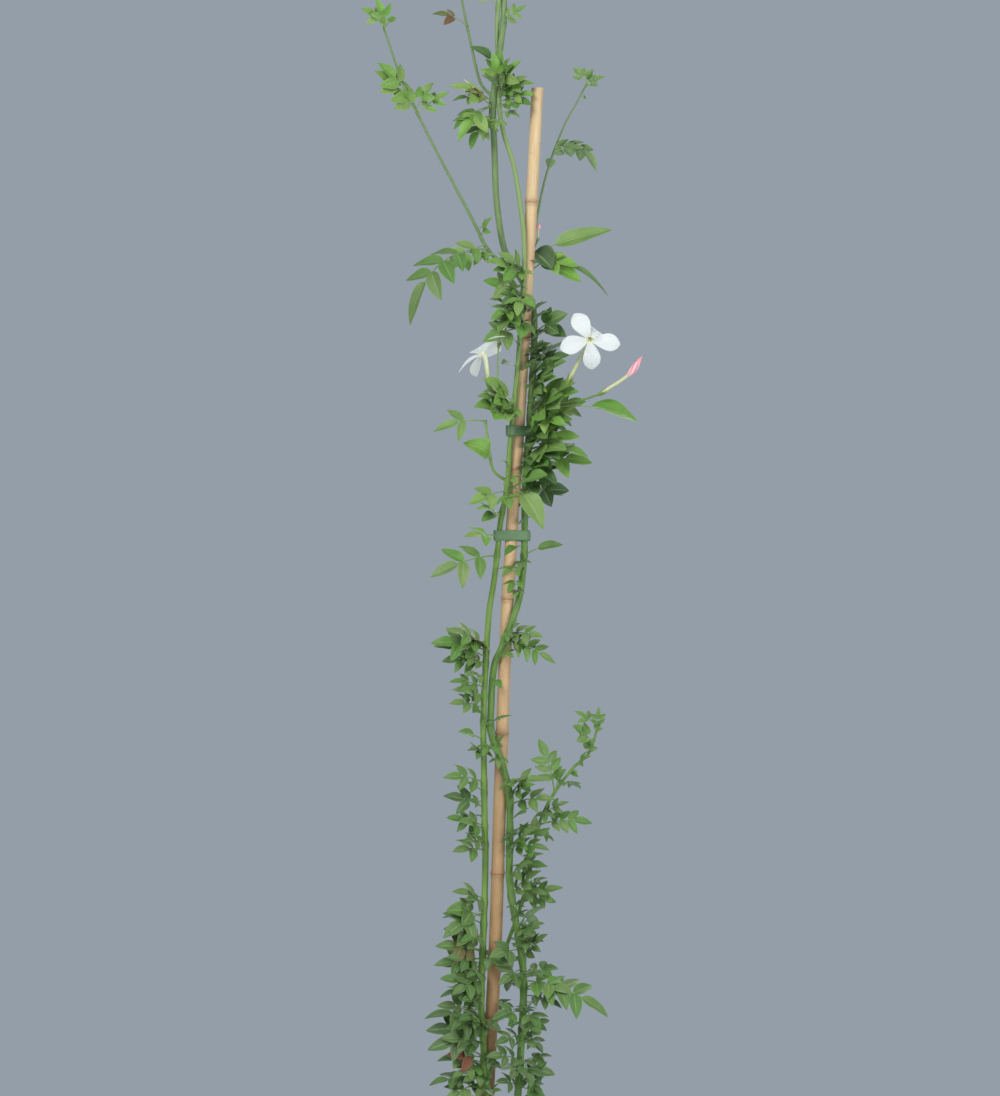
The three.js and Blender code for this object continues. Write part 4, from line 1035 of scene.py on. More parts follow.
def cane_skin():
    """A bamboo cane: a double ring at each node, and a hollow cut top."""
    near = [-7, -5, -3.6, -2.6, -1.9, -1.4, -1, -0.6, -0.2, 0.2, 0.6, 1, 1.5, 2.2, 3.2, 4.6, 7]
    heights = sorted({*np.arange(CANE_FOOT, CANE_TOP, 8.0), *(n + d for n in CANE_NODES for d in near)})
    heights = np.array([height for height in heights if height < CANE_TOP - 1])
    closeness = np.zeros(len(heights))
    radii = cane_radius(heights)
    for node in CANE_NODES:
        away = heights - node
        for rise, above, width in CANE_RINGS:
            radii = radii + rise * np.exp(-(((away - above) / width) ** 2))
        closeness = np.maximum(closeness, np.exp(-((away / 2.4) ** 2)))
    top = [(CANE_TOP - 0.35, CANE_TOP_RADIUS), (CANE_TOP, CANE_TOP_RADIUS - 0.3), (CANE_TOP, 2.6),
           (CANE_TOP, CANE_BORE_RADIUS + 0.15), (CANE_TOP - 0.4, CANE_BORE_RADIUS),
           (CANE_TOP - CANE_BORE_DEPTH, CANE_BORE_RADIUS)]
    cut = [0.3, 1, 1, 1, 0.7, 0.2]
    heights = np.concatenate([heights, [height for height, _ in top]])
    radii = np.concatenate([radii, [radius for _, radius in top]])
    closeness = np.concatenate([closeness, np.zeros(len(top))])
    turns = round_turns(CANE_SIDES)
    oval = 1 + 0.018 * np.cos(2 * turns + heights[:, None] * 0.006)
    axis = cane_at(heights)
    rings = np.repeat(axis[:, None], CANE_SIDES, axis=1)
    rings[..., 0] += radii[:, None] * oval * np.cos(turns)
    rings[..., 1] += radii[:, None] * oval * np.sin(turns)
    shades = np.zeros(rings.shape)
    shades[..., 0] = closeness[:, None]
    shades[-len(cut):, :, 1] = np.array(cut)[:, None]
    skin = Skin()
    skin.tube(rings, round_places(heights, CANE_SIDES), shades)
    return skin


# Pot and compost

def lathe(profile, sides):
    """A profile of (radius, height) rows, from the axis round to the axis, turned about Z."""
    turns = round_turns(sides)
    rings = np.zeros((len(profile), sides, 3))
    rings[..., 0] = profile[:, :1] * np.cos(turns)
    rings[..., 1] = profile[:, :1] * np.sin(turns)
    rings[..., 2] = profile[:, 1:]
    return rings, round_places(profile[:, 1], sides)


def pot_skin():
    profile = soften([
        (0.5, 0), (POT_BASE_RADIUS - 2, 0), (POT_BASE_RADIUS, 2), (WALL_TOP_RADIUS, BAND_FOOT),
        (BAND_BOTTOM_RADIUS, BAND_FOOT + 1.5), (POT_RADIUS, POT_HEIGHT - 3),
        (POT_RADIUS - RIM_ROUND, POT_HEIGHT), (POT_RADIUS - POT_WALL - RIM_ROUND, POT_HEIGHT),
        (BAND_BOTTOM_RADIUS - POT_WALL, BAND_FOOT + 3), (WALL_TOP_RADIUS - POT_WALL, BAND_FOOT + 0.5),
        (POT_BASE_RADIUS - POT_WALL, POT_WALL + SEAT_GAP), (0.5, POT_WALL),
    ], 1.1)
    skin = Skin()
    skin.tube(*lathe(profile, POT_SIDES), (0.5, 0.0, 0.5))
    return skin


def drained(pot):
    """Cuts the drain holes through the pot's base."""
    holes = bmesh.new()
    for i in range(DRAIN_HOLES):
        turn = 2 * math.pi * i / DRAIN_HOLES
        made = bmesh.ops.create_cone(
            holes, cap_ends=True, segments=32, radius1=DRAIN_RADIUS * MM, radius2=DRAIN_RADIUS * MM,
            depth=4 * POT_WALL * MM)
        centre = place(math.cos(turn), math.sin(turn), 0) * DRAIN_CIRCLE * MM
        bmesh.ops.translate(holes, verts=made["verts"], vec=centre)
    mesh = bpy.data.meshes.new("drain_cut")
    holes.to_mesh(mesh)
    holes.free()
    cutter = bpy.data.objects.new("drain_cut", mesh)
    bpy.context.scene.collection.objects.link(cutter)
    cut = pot.modifiers.new("drain", "BOOLEAN")
    cut.operation = "DIFFERENCE"
    cut.solver = "EXACT"
    cut.object = cutter
    bpy.context.view_layer.update()
    evaluated = pot.evaluated_get(bpy.context.evaluated_depsgraph_get())
    pot.data = bpy.data.meshes.new_from_object(evaluated)
    pot.modifiers.clear()
    bpy.data.objects.remove(cutter)
    return pot


def soil_bump(x, y):
    return SOIL_BUMP * (
        np.sin(0.19 * x + 0.07 * y) * np.cos(0.16 * y - 0.05 * x) + 0.6 * np.sin(0.31 * y + 0.23 * x + 1)
    )


SOIL_INSIDE = POT_WALL + SEAT_GAP
SOIL_BAND_INSIDE = BAND_BOTTOM_RADIUS - SOIL_INSIDE
SOIL_EDGE = between(
    SOIL_BAND_INSIDE, POT_RADIUS - SOIL_INSIDE - RIM_ROUND,
    (SOIL_EDGE_HEIGHT - BAND_FOOT - 3) / (POT_HEIGHT - BAND_FOOT - 3),
)


def soil_height(x, y):
    """The height of the compost's surface: a low crown, lumps, and a fine crumb."""
    share = np.hypot(x, y) / SOIL_EDGE
    lumps = soil_bump(x, y) + SOIL_LUMP * ripples(x, y, 31, [9, 7, 5.5, 11])
    crumb = SOIL_CRUMB * ripples(x, y, 32, [3.1, 2.3, 3.9, 2.7, 4.4])
    crown = SOIL_CROWN * (1 - share**2)
    return SOIL_EDGE_HEIGHT + crown + (lumps + crumb) * np.minimum(1, 2 - 1.9 * share)


def soil_skin():
    """Compost that fills the pot to below its rim."""
    sides = soften([
        (0.5, SOIL_INSIDE), (POT_BASE_RADIUS - SOIL_INSIDE, POT_WALL + 2 * SEAT_GAP),
        (WALL_TOP_RADIUS - SOIL_INSIDE, BAND_FOOT + 1), (SOIL_BAND_INSIDE, BAND_FOOT + 3.6),
        (SOIL_EDGE, SOIL_EDGE_HEIGHT),
    ], 1.0)
    radii = np.linspace(SOIL_EDGE, 0.5, SOIL_RINGS)
    top = np.stack([radii, np.full(len(radii), SOIL_EDGE_HEIGHT)], axis=1)
    rings, places = lathe(np.vstack([sides, top]), SOIL_SIDES)
    surface = rings[-len(top):]
    surface[..., 2] = soil_height(surface[..., 0], surface[..., 1])
    skin = Skin()
    skin.tube(rings, places, (0.4, 0.0, 0.5))
    return skin


def crumb_skin():
    """Crumbs and flat bits of bark on the compost, each a lump of its own."""
    ball = bmesh.new()
    bmesh.ops.create_icosphere(ball, subdivisions=2, radius=1)
    points = np.array([vertex.co for vertex in ball.verts])
    faces = np.array([[vertex.index for vertex in face.verts] for face in ball.faces])
    ball.free()
    draw = draws(41)
    skin = Skin()
    for i in range(CRUMBS + BARK_BITS):
        bark = i >= CRUMBS
        reach = (SOIL_EDGE - CRUMB_EDGE_GAP) * math.sqrt(draw())
        turn = 2 * math.pi * draw()
        x = reach * math.cos(turn)
        y = reach * math.sin(turn)
        size = between(*BARK_SIZES, draw()) if bark else between(*CRUMB_SIZES, draw() ** 2)
        stretch = np.array(BARK_STRETCH if bark else (1, between(0.7, 1, draw()), CRUMB_FLATNESS))
        waves = np.sin(points @ place(3, 1.3, 0.4) + 9 * draw()) * np.cos(points @ place(0.8, -2.7, 2.1))
        lumpy = 1 + CRUMB_WAVE * waves
        shape = points * lumpy[:, None] * stretch * size
        spin = 2 * math.pi * draw()
        tilt = 0.5 * (draw() - 0.5)
        shape = shape @ np.array([
            [math.cos(spin), math.sin(spin), 0], [-math.sin(spin), math.cos(spin), 0], [0, 0, 1],
        ])
        shape[:, 2] += shape[:, 0] * tilt
        height = float(soil_height(np.array(x), np.array(y)))
        shade = (between(0.2, 0.75, draw()), 1.0 if bark else 0.0, draw())
        first = skin.add(shape + place(x, y, height + CRUMB_LIFT * size), points, shade)
        skin.faces.append(faces + first)
    return skin


# Ties

def add_tie(skin, height):
    """Soft tape wound twice round the cane and the stems beside it."""
    held = [
        (cane_at(height)[0], cane_radius(height)),
        (right_stem.at_height(height), TIED_STEM_RADIUS),
        (left_stem.at_height(height), TIED_STEM_RADIUS),
    ]
    turns = round_turns(TIE_POINTS)
    out = np.stack([np.cos(turns), np.sin(turns)], axis=1)
    reach = np.array([out @ centre[:2] + radius for centre, radius in held])
    furthest = reach.argmax(axis=0)
    tape = TIE_THICKNESS / 2
    for turn, tilt in enumerate(TIE_LEANS):
        clear = TIE_CLEAR + tape * (turn + 0.5)
        line = np.array([
            held[k][0][:2] + way * (held[k][1] + clear) for k, way in zip(furthest, out)
        ])
        line = np.array([
            line[(np.arange(-2, 3) + i) % TIE_POINTS].mean(axis=0) for i in range(TIE_POINTS)
        ])
        half = TIE_WIDTH / 2 - TIE_EDGE
        section = np.array(TIE_SECTION)
        rings = np.zeros((TIE_POINTS, len(section), 3))
        slack = TIE_SLACK * np.sin(5 * turns + 2 * turn) + TIE_FINE_SLACK * np.sin(11 * turns + turn)
        lean = height + tilt * np.cos(turns - 0.8)
        for k, (up, outward) in enumerate(section):
            pleat = TIE_PLEAT * np.sin(9 * turns + 2.4 * up + turn)
            offset = (outward * tape * 0.5 + pleat * (1 - abs(up)) + slack * 0.5)[:, None]
            rings[:, k, :2] = line + out * offset
            rings[:, k, 2] = lean + up * (half + slack)
        places = np.zeros(rings.shape)
        places[..., 0] = np.cos(turns)[:, None]
        places[..., 1] = np.sin(turns)[:, None]
        places[..., 2] = section[:, 0]
        skin.tube(rings[::-1], places[::-1], (0.5, float(turn), 0.5), closed=True)


# Finishes: procedural materials, whose sums are written as Python expressions

def paint(red, green, blue):
    """A colour from its screen values, 0 to 255."""
    def linear(value):
        value = value / 255
        return value / 12.92 if value <= 0.04045 else ((value + 0.055) / 1.055) ** 2.4

    return (linear(red), linear(green), linear(blue), 1.0)


class Wire:
    """A socket of a finish's nodes. Sums of values add Math nodes, and sums of vectors Vector Math."""

    def __init__(self, finish, socket):
        self.finish = finish
        self.socket = socket

    def __add__(self, other):
        return self.finish.maths("ADD", self, other)

    def __radd__(self, other):
        return self.finish.maths("ADD", other, self)

    def __sub__(self, other):
        return self.finish.maths("SUBTRACT", self, other)

    def __rsub__(self, other):
        return self.finish.maths("SUBTRACT", other, self)

    def __mul__(self, other):
        return self.finish.maths("MULTIPLY", self, other)

    def __rmul__(self, other):
        return self.finish.maths("MULTIPLY", other, self)

    def __abs__(self):
        return self.finish.maths("ABSOLUTE", self)

    def sine(self):
        return self.finish.maths("SINE", self)


class Finish:
    """A material built from nodes."""

    mix_first = 6
    mix_second = 7
    mix_result = 2

    def __init__(self, name):
        self.material = bpy.data.materials.new(name)
        self.material.use_nodes = True
        self.tree = self.material.node_tree
        self.tree.nodes.clear()

    def node(self, kind, settings, sockets, out=0):
        """Adds a node: its settings first, with a ramp's stops among them, then its sockets."""
        made = self.tree.nodes.new("ShaderNode" + kind)
        for key, value in settings.items():
            if key == "stops":
                ramp = made.color_ramp.elements
                while len(ramp) < len(value):
                    ramp.new(1)
                for stop, (position, colour) in zip(ramp, value):
                    stop.position = position
                    stop.color = colour
            else:
                setattr(made, key, value)
        for key, value in sockets.items():
            if isinstance(value, Wire):
                self.tree.links.new(value.socket, made.inputs[key])
            else:
                made.inputs[key].default_value = value
        return Wire(self, made.outputs[out])

    def maths(self, operation, *terms):
        vector = any(isinstance(term, Wire) and term.socket.type != "VALUE" or isinstance(term, tuple)
                     for term in terms)
        kind = "VectorMath" if vector else "Math"
        return self.node(kind, {"operation": operation}, dict(enumerate(terms)))

    def mix(self, share, first, second, how="MIX"):
        """From the first colour to the second."""
        sockets = {0: share, self.mix_first: first, self.mix_second: second}
        settings = {"data_type": "RGBA", "blend_type": how}
        return self.node("Mix", settings, sockets, self.mix_result)

    def step(self, value, low, high, first=0.0, last=1.0):
        """Runs smoothly from first to last as the value goes from low to high."""
        sockets = {"Value": value, "From Min": low, "From Max": high, "To Min": first, "To Max": last}
        return self.node("MapRange", {"interpolation_type": "SMOOTHSTEP"}, sockets)

    def noise(self, vector, scale, detail=3.0, roughness=0.55):
        return self.node("TexNoise", {}, {"Vector": vector, "Scale": scale, "Detail": detail,
                                          "Roughness": roughness})

    def round_noise(self, turned, drawn_out, scale, detail):
        """Noise over a round skin, whose points keep the cosine and sine of their turn, and a length."""
        cosine, sine, length = self.attribute("place")
        point = self.vector(cosine * turned, sine * turned, length * drawn_out)
        return self.noise(point, scale, detail)

    def here(self):
        """The point of the object, in metres."""
        return self.node("TexCoord", {}, {}, "Object")

    def attribute(self, name):
        """The three values kept under a name at each point."""
        vector = self.node("Attribute", {"attribute_name": name}, {}, "Vector")
        return [self.node("SeparateXYZ", {}, {0: vector}, k) for k in range(3)]

    def vector(self, x, y, z):
        return self.node("CombineXYZ", {}, {0: x, 1: y, 2: z})

    def surface(self, colour, roughness, height=None, depth=0.0, **constants):
        """The shader: its colour and roughness, a height that bumps it, and constants of its sockets."""
        sockets = {"Base Color": colour, "Roughness": roughness}
        for key, value in constants.items():
            sockets[key.replace("_", " ").title().replace("Ior", "IOR")] = value
        if height is not None:
            bump = {"Strength": 1.0, "Distance": depth, "Height": height}
            sockets["Normal"] = self.node("Bump", {}, bump)
        shader = self.node("BsdfPrincipled", {}, sockets)
        self.node_output(shader)
        return self.material

    def node_output(self, shader):
        output = self.tree.nodes.new("ShaderNodeOutputMaterial")
        self.tree.links.new(shader.socket, output.inputs["Surface"])


LEAF_BRIGHT = paint(123, 160, 74)
LEAF_GREEN = paint(97, 128, 67)
LEAF_DARK = paint(68, 91, 58)
LEAF_UNDER = paint(122, 146, 104)
LEAF_VEIN = paint(148, 172, 104)
LEAF_BROWN = paint(100, 76, 50)
LEAF_RED = paint(116, 62, 46)


def leaf_finish():
    finish = Finish("jasmine_leaf")
    along, across, upper = finish.attribute("place")
    light, wither, chance = finish.attribute("shade")
    here = finish.here()
    patches = finish.noise(here, 140, 4.0)
    grain = finish.noise(here, 1500, 2.0)
    # Each leaflet's light picks its green from dark to bright; it carries the painted shade of the lower
    # leaves and of those deep in the clumps
    green = finish.mix(finish.step(light, 0.05, 0.55), LEAF_DARK, LEAF_GREEN)
    green = finish.mix(finish.step(light, 0.5, 1.0), green, LEAF_BRIGHT)
    green = finish.mix(finish.step(patches, 0.35, 0.75, 0.0, 0.45), green, LEAF_BRIGHT, "SOFT_LIGHT")
    hue = finish.node("HueSaturation", {}, {
        "Hue": 0.485 + chance * 0.03, "Saturation": 0.92 + 0.16 * chance, "Value": 0.88 + 0.2 * grain,
        "Fac": 1.0, "Color": green})
    side = abs(across)
    veins = abs((along * 28 - side * 5.5).sine())
    vein = finish.step(veins, 0.02, 0.2, 1.0, 0.0) * finish.step(side, 0.75, 0.98, 1.0, 0.0)
    midrib = finish.step(side, 0.03, 0.12, 1.0, 0.0)
    lines = vein * 0.14 + midrib * 0.4
    colour = finish.mix(lines, hue, LEAF_VEIN)
    colour = finish.mix(finish.step(upper, 0.2, 0.8, 0.62, 0.0), colour, LEAF_UNDER)
    edge = finish.step(side, 0.8, 1.0) * 0.25
    colour = finish.mix(edge, colour, LEAF_BRIGHT)
    brown = finish.mix(finish.noise(here, 220, 2.0), LEAF_BROWN, LEAF_RED)
    withered = finish.step(wither * 1.3 + patches * 0.4 + side * 0.2, 0.5, 1.0)
    colour = finish.mix(withered, colour, brown)
    roughness = 0.42 + 0.16 * patches + 0.2 * withered
    height = midrib * 0.5 + vein * 0.35 + grain * 0.16
    return finish.surface(colour, roughness, height, 0.00022, specular_ior_level=0.42)


STEM_GREEN = paint(112, 148, 66)
STEM_DARK = paint(70, 108, 46)
STEM_PALE = paint(132, 156, 100)
STEM_PALE_DARK = paint(86, 112, 74)
STEM_BARK = paint(120, 98, 68)


def stem_finish():
    finish = Finish("jasmine_stem")
    light, woody, _ = finish.attribute("shade")
    streaks = finish.round_noise(2.2, 0.07, 1.6, 4.0)
    specks = finish.round_noise(3, 0.8, 1.0, 2.0)
    height = finish.node("SeparateXYZ", {}, {0: finish.here()}, 2)
    # The stems turn paler towards the top, from 0.6 m up
    paler_above = finish.step(height, 0.6, 0.82)
    green = finish.mix(light, finish.mix(paler_above, STEM_DARK, STEM_PALE_DARK),
                       finish.mix(paler_above, STEM_GREEN, STEM_PALE))
    green = finish.mix(finish.step(streaks, 0.4, 0.7, 0.0, 0.3), green, paint(154, 174, 96))
    green = finish.mix(finish.step(specks, 0.62, 0.74, 0.0, 0.4), green, paint(160, 156, 112))
    bark = finish.mix(streaks, STEM_BARK, paint(78, 58, 40))
    colour = finish.mix(finish.step(woody + streaks * 0.3, 0.25, 0.9), green, bark)
    relief = streaks * 0.6 + specks * 0.3
    return finish.surface(colour, 0.5 + 0.2 * streaks, relief, 0.00025, specular_ior_level=0.4)


def calyx_finish():
    finish = Finish("calyx_green")
    _, _, length = finish.attribute("place")
    fine = finish.round_noise(2, 0.3, 2.0, 3.0)
    colour = finish.mix(finish.step(length, 4.0, 8.0), paint(126, 150, 74), paint(150, 140, 84))
    colour = finish.mix(fine, colour, paint(96, 124, 62), "SOFT_LIGHT")
    return finish.surface(colour, 0.5 + 0.12 * fine, fine, 0.00015)


def petal_finish():
    finish = Finish("jasmine_petal")
    along, across, upper = finish.attribute("place")
    here = finish.here()
    cloud = finish.noise(here, 260, 3.0)
    light, _, _ = finish.attribute("shade")
    # Painted light: the flower that faces away from the lamps gets a brighter white than the one that
    # faces them
    lit_flower_white = finish.mix(cloud, paint(214, 218, 214), paint(200, 206, 203))
    white_painted_up_for_shaded_flower = finish.mix(cloud, paint(240, 245, 241), paint(230, 236, 233))
    white = finish.mix(light, lit_flower_white, white_painted_up_for_shaded_flower)
    throat = finish.step(along, 0.0, 0.16, 0.6, 0.0)
    colour = finish.mix(throat, white, paint(226, 232, 176))
    blush = finish.step(upper, 0.2, 0.8, 0.08, 0.0) * finish.step(abs(across), 0.0, 0.8, 0.2, 1.0)
    colour = finish.mix(blush, colour, paint(232, 200, 208))
    nerves = finish.step(abs((across * 15 + along * 2).sine()), 0.0, 0.4, 1.0, 0.0)
    colour = finish.mix(nerves * 0.18, colour, paint(204, 214, 208))
    return finish.surface(colour, 0.5 + 0.1 * cloud, nerves * 0.5 + cloud * 0.4, 0.00018,
                          specular_ior_level=0.35, subsurface_weight=0.4, subsurface_scale=0.0025,
                          subsurface_radius=(1.0, 1.0, 1.0))


def flower_tube_finish():
    finish = Finish("flower_tube")
    share, _, _ = finish.attribute("shade")
    fine = finish.round_noise(2, 0.12, 2.0, 3.0)
    colour = finish.mix(finish.step(share, 0.15, 0.95), paint(176, 188, 128), paint(238, 240, 206))
    colour = finish.mix(finish.step(fine, 0.45, 0.75, 0.0, 0.35), colour, paint(206, 170, 160))
    return finish.surface(colour, 0.5 + 0.1 * fine, fine, 0.00012)


def bud_finish():
    finish = Finish("furled_bud")
    share, wound, blush = finish.attribute("shade")
    fine = finish.round_noise(2, 0.15, 2.0, 3.0)
    tube = finish.mix(fine, paint(178, 194, 128), paint(198, 190, 156))
    pink = finish.mix(finish.step(wound, 0.1, 0.9), paint(212, 124, 136), paint(236, 190, 196))
    pink = finish.mix(finish.step(share, 0.75, 1.0, 0.0, 0.5), pink, paint(198, 110, 122))
    pink = finish.mix(blush, paint(214, 214, 176), pink)
    colour = finish.mix(finish.step(share + 0.1 * fine, 0.5, 0.72), tube, pink)
    return finish.surface(colour, 0.45 + 0.12 * fine, fine, 0.00012)


def anther_finish():
    finish = Finish("anther")
    grains = finish.noise(finish.here(), 3000, 2.0)
    colour = finish.mix(grains, paint(224, 208, 120), paint(196, 172, 84))
    return finish.surface(colour, 0.75 + 0.1 * grains, grains, 0.0001)


def bamboo_finish():
    finish = Finish("bamboo")
    _, _, height = finish.attribute("place")
    ring, cut, _ = finish.attribute("shade")
    fibres = finish.round_noise(5, 0.018, 3.2, 5.0)
    bands = finish.round_noise(0.5, 0.03, 1.0, 3.0)
    specks = finish.round_noise(4, 0.25, 1.4, 2.0)
    # The cane's colour darkens from the top down towards its foot: painted shade for the light that falls
    # off lower down the plant
    skin = finish.mix(finish.step(height, 260, 650), paint(146, 113, 71), paint(208, 178, 135))
    skin = finish.mix(finish.step(height, 620, 900, 0.0, 1.0), skin, paint(218, 194, 149))
    skin = finish.mix(finish.step(height, 120, 340, 0.8, 0.0), skin, paint(122, 90, 58))
    skin = finish.mix(finish.step(bands, 0.4, 0.75, 0.0, 0.45), skin, paint(196, 156, 116))
    skin = finish.mix(finish.step(fibres, 0.35, 0.7, 0.5, 0.0), skin, paint(152, 116, 78))
    skin = finish.mix(finish.step(specks, 0.66, 0.76, 0.0, 0.7), skin, paint(104, 74, 50))
    skin = finish.mix(ring * 0.55, skin, paint(138, 100, 66))
    pith = finish.mix(fibres, paint(226, 206, 168), paint(196, 168, 124))
    colour = finish.mix(finish.step(cut, 0.2, 0.8), skin, pith)
    return finish.surface(colour, 0.42 + 0.22 * fibres, fibres * 0.5 + specks * 0.2, 0.0003,
                          specular_ior_level=0.45)


def pot_finish():
    finish = Finish("pot_plastic")
    here = finish.here()
    fine = finish.noise(here, 1400, 3.0)
    cloud = finish.noise(here, 24, 4.0)
    scratch = finish.noise(here * (9, 9, 260), 4.0, 3.0)
    height = finish.node("SeparateXYZ", {}, {0: here}, 2)
    colour = finish.mix(finish.step(cloud, 0.3, 0.7), paint(176, 96, 66), paint(164, 86, 58))
    dust = finish.step(height, 0.0, 0.03, 0.4, 0.0) + finish.step(cloud, 0.55, 0.8, 0.0, 0.18)
    colour = finish.mix(dust, colour, paint(186, 158, 138))
    colour = finish.mix(finish.step(scratch, 0.66, 0.78, 0.0, 0.22), colour, paint(206, 142, 116))
    return finish.surface(colour, 0.52 + 0.14 * cloud, fine * 0.5 + scratch * 0.3, 0.0002)


def compost_finish():
    finish = Finish("compost")
    light, bark, chance = finish.attribute("shade")
    here = finish.here()
    coarse = finish.noise(here, 170, 5.0, 0.65)
    fine = finish.noise(here, 900, 4.0, 0.7)
    colour = finish.mix(finish.step(coarse, 0.3, 0.7), paint(46, 33, 24), paint(82, 62, 46))
    colour = finish.mix(finish.step(fine, 0.55, 0.8, 0.0, 0.55), colour, paint(116, 90, 66))
    colour = finish.mix(light * 0.4, colour, paint(104, 80, 58))
    colour = finish.mix(bark * 0.65, colour, finish.mix(chance, paint(78, 54, 38), paint(112, 82, 56)))
    return finish.surface(colour, 0.88 + 0.1 * fine, coarse * 0.6 + fine * 0.5, 0.0012,
                          specular_ior_level=0.25)


def tape_finish():
    finish = Finish("tie_tape")
    here = finish.here()
    fine = finish.noise(here, 900, 3.0)
    cloud = finish.noise(here, 120, 3.0)
    colour = finish.mix(cloud, paint(78, 108, 72), paint(98, 130, 90))
    return finish.surface(colour, 0.48 + 0.16 * cloud, fine * 0.4 + cloud * 0.6, 0.0002)


def floor_finish():
    finish = Finish("pale_floor")
    cloud = finish.noise(finish.here(), 3.0, 3.0)
    colour = finish.mix(cloud, paint(206, 210, 214), paint(214, 217, 220))
    return finish.surface(colour, 0.85 + 0.05 * cloud)


# The pieces

def add_to(piece):
    """Lets a piece ride with the plant."""
    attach(piece, "root")


def stand_for(piece, slot, *nodes):
    """Does the same for a piece that stands in place of solids of the plant."""
    add_to(piece)
    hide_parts(*nodes)


FLOWER_WAY = unit(place(11, -5, 24))
LEFT_FLOWER_WAY = unit(place(-2, -1, 9))
BUD_WAY = unit(place(9, -2, 5))
YOUNG_BUD_WAY = unit(place(2, 0, 12))
SMALL_BUD_WAY = unit(place(3, -1, 10))
WOODY_BELOW = 250


def heights_of(rows):
    return [row[0] for row in rows]


right = Growth("right_stem", 0.25)
add_shoot(right, right_stem, RIGHT_STEM_RADII, heights_of(RIGHT_STEM_LEAVES), WOODY_BELOW)
add_shoot(right, upper_left_shoot, UPPER_LEFT_RADII, heights_of(UPPER_LEFT_LEAVES))
add_shoot(right, upper_right_shoot, UPPER_RIGHT_RADII, heights_of(UPPER_RIGHT_LEAVES))
add_shoot(right, upright_shoot, UPRIGHT_RADII, heights_of(UPRIGHT_LEAVES))
add_shoot(right, flower_spur, FLOWER_SPUR_RADII, heights_of(FLOWER_SPUR_LEAVES))
add_shoot(right, bud_stalk, BUD_STALK_RADII)
add_calyx(right, flower_spur.end(), FLOWER_WAY)
add_calyx(right, bud_stalk.end(), BUD_WAY, 0.75)
add_shoot(right, small_stalk, YOUNG_STALK_RADII)
add_calyx(right, small_stalk.end(), SMALL_BUD_WAY, 0.45)
add_leaves(right, right_stem, RIGHT_STEM_LEAVES, 100)
add_leaves(right, upper_left_shoot, UPPER_LEFT_LEAVES, 200)
add_leaves(right, upper_right_shoot, UPPER_RIGHT_LEAVES, 300)
add_leaves(right, upright_shoot, UPRIGHT_LEAVES, 400)
add_leaves(right, flower_spur, FLOWER_SPUR_LEAVES, 450)
add_leaves(right, right_stem, RIGHT_STEM_FILL, 1100)
add_leaves(right, upper_left_shoot, UPPER_LEFT_FILL, 1200)
add_leaves(right, upper_right_shoot, UPPER_RIGHT_FILL, 1300)
add_thickets(right, right_stem, RIGHT_THICKETS, 2100)

left = Growth("left_stem", 0.75)
add_shoot(left, left_stem, LEFT_STEM_RADII, heights_of(LEFT_STEM_LEAVES), WOODY_BELOW)
add_shoot(left, left_spur, LEFT_SPUR_RADII, heights_of(LEFT_SPUR_LEAVES))
add_shoot(left, left_flower_spur, FLOWER_SPUR_RADII)
add_calyx(left, left_flower_spur.end(), LEFT_FLOWER_WAY)
add_shoot(left, young_stalk, YOUNG_STALK_RADII)
add_calyx(left, young_stalk.end(), YOUNG_BUD_WAY, 0.6)
add_leaves(left, left_stem, LEFT_STEM_LEAVES, 500)
add_leaves(left, left_spur, LEFT_SPUR_LEAVES, 700)
add_leaves(left, left_stem, LEFT_STEM_FILL, 1500)
add_thickets(left, left_stem, LEFT_THICKETS, 2500)

low = Growth("low_stem", 0.45)
add_shoot(low, low_stem, LOW_STEM_RADII, heights_of(LOW_STEM_LEAVES), WOODY_BELOW)
add_leaves(low, low_stem, LOW_STEM_LEAVES, 800)
add_leaves(low, low_stem, LOW_STEM_FILL, 1800)
add_thickets(low, low_stem, LOW_THICKETS, 2800)

leaf_green = leaf_finish()
stem_green = stem_finish()
calyx_green = calyx_finish()
for growth in (right, left, low):
    stand_for(growth.shoots.piece(growth.name + "_shoots", stem_green), "foliage", growth.name)
    stand_for(growth.leaves.piece(growth.name + "_leaves", leaf_green), "foliage", growth.name)
    if growth.calyxes.count:
        stand_for(growth.calyxes.piece(growth.name + "_calyxes", calyx_green), "foliage", growth.name)

right_bloom = Bloom("right_flower")
left_bloom = Bloom("left_flower")
add_flower(
    right_bloom, flower_spur.end(), FLOWER_WAY, place(70.5, -20, 739),
    unit(place(0.12, -0.97, 0.12)),
    [(118, 0.12), (196, 0.1), (276, 0.42), (352, 0.02), (412, 1.3)], 0.0,
)
add_flower(
    left_bloom, left_flower_spur.end(), LEFT_FLOWER_WAY, place(3.4, -15, 728),
    unit(place(-0.62, 0.3, 0.72)),
    [(20, 0.15), (92, 0.2), (164, 0.1), (236, 0.25), (308, 0.1)], 1.0,
)
petal_white = petal_finish()
tube_pale = flower_tube_finish()
anther_yellow = anther_finish()
for bloom in (right_bloom, left_bloom):
    stand_for(bloom.petals.piece(bloom.name + "_petals", petal_white), "petal", bloom.name)
    stand_for(bloom.tube.piece(bloom.name + "_tube", tube_pale), "petal", bloom.name)
    stand_for(bloom.anthers.piece(bloom.name + "_anthers", anther_yellow), "petal", bloom.name)

bud_skin = Skin()
add_bud(bud_skin, bud_stalk.end(), BUD_WAY, place(96, -18, 717), place(105, -20, 729))
bud_pink = bud_finish()
stand_for(bud_skin.piece("furled_bud", bud_pink), "bud", "bud")
young_buds = Skin()
add_bud(young_buds, young_stalk.end(), YOUNG_BUD_WAY, place(14, -16, 744),
        place(17.2, -16.5, 752), girth=0.62, blush=0.1)
add_bud(young_buds, small_stalk.end(), SMALL_BUD_WAY, place(37.8, 3.7, 811),
        place(38.6, 3.4, 816.5), girth=0.6)
add_to(young_buds.piece("young_buds", bud_pink))

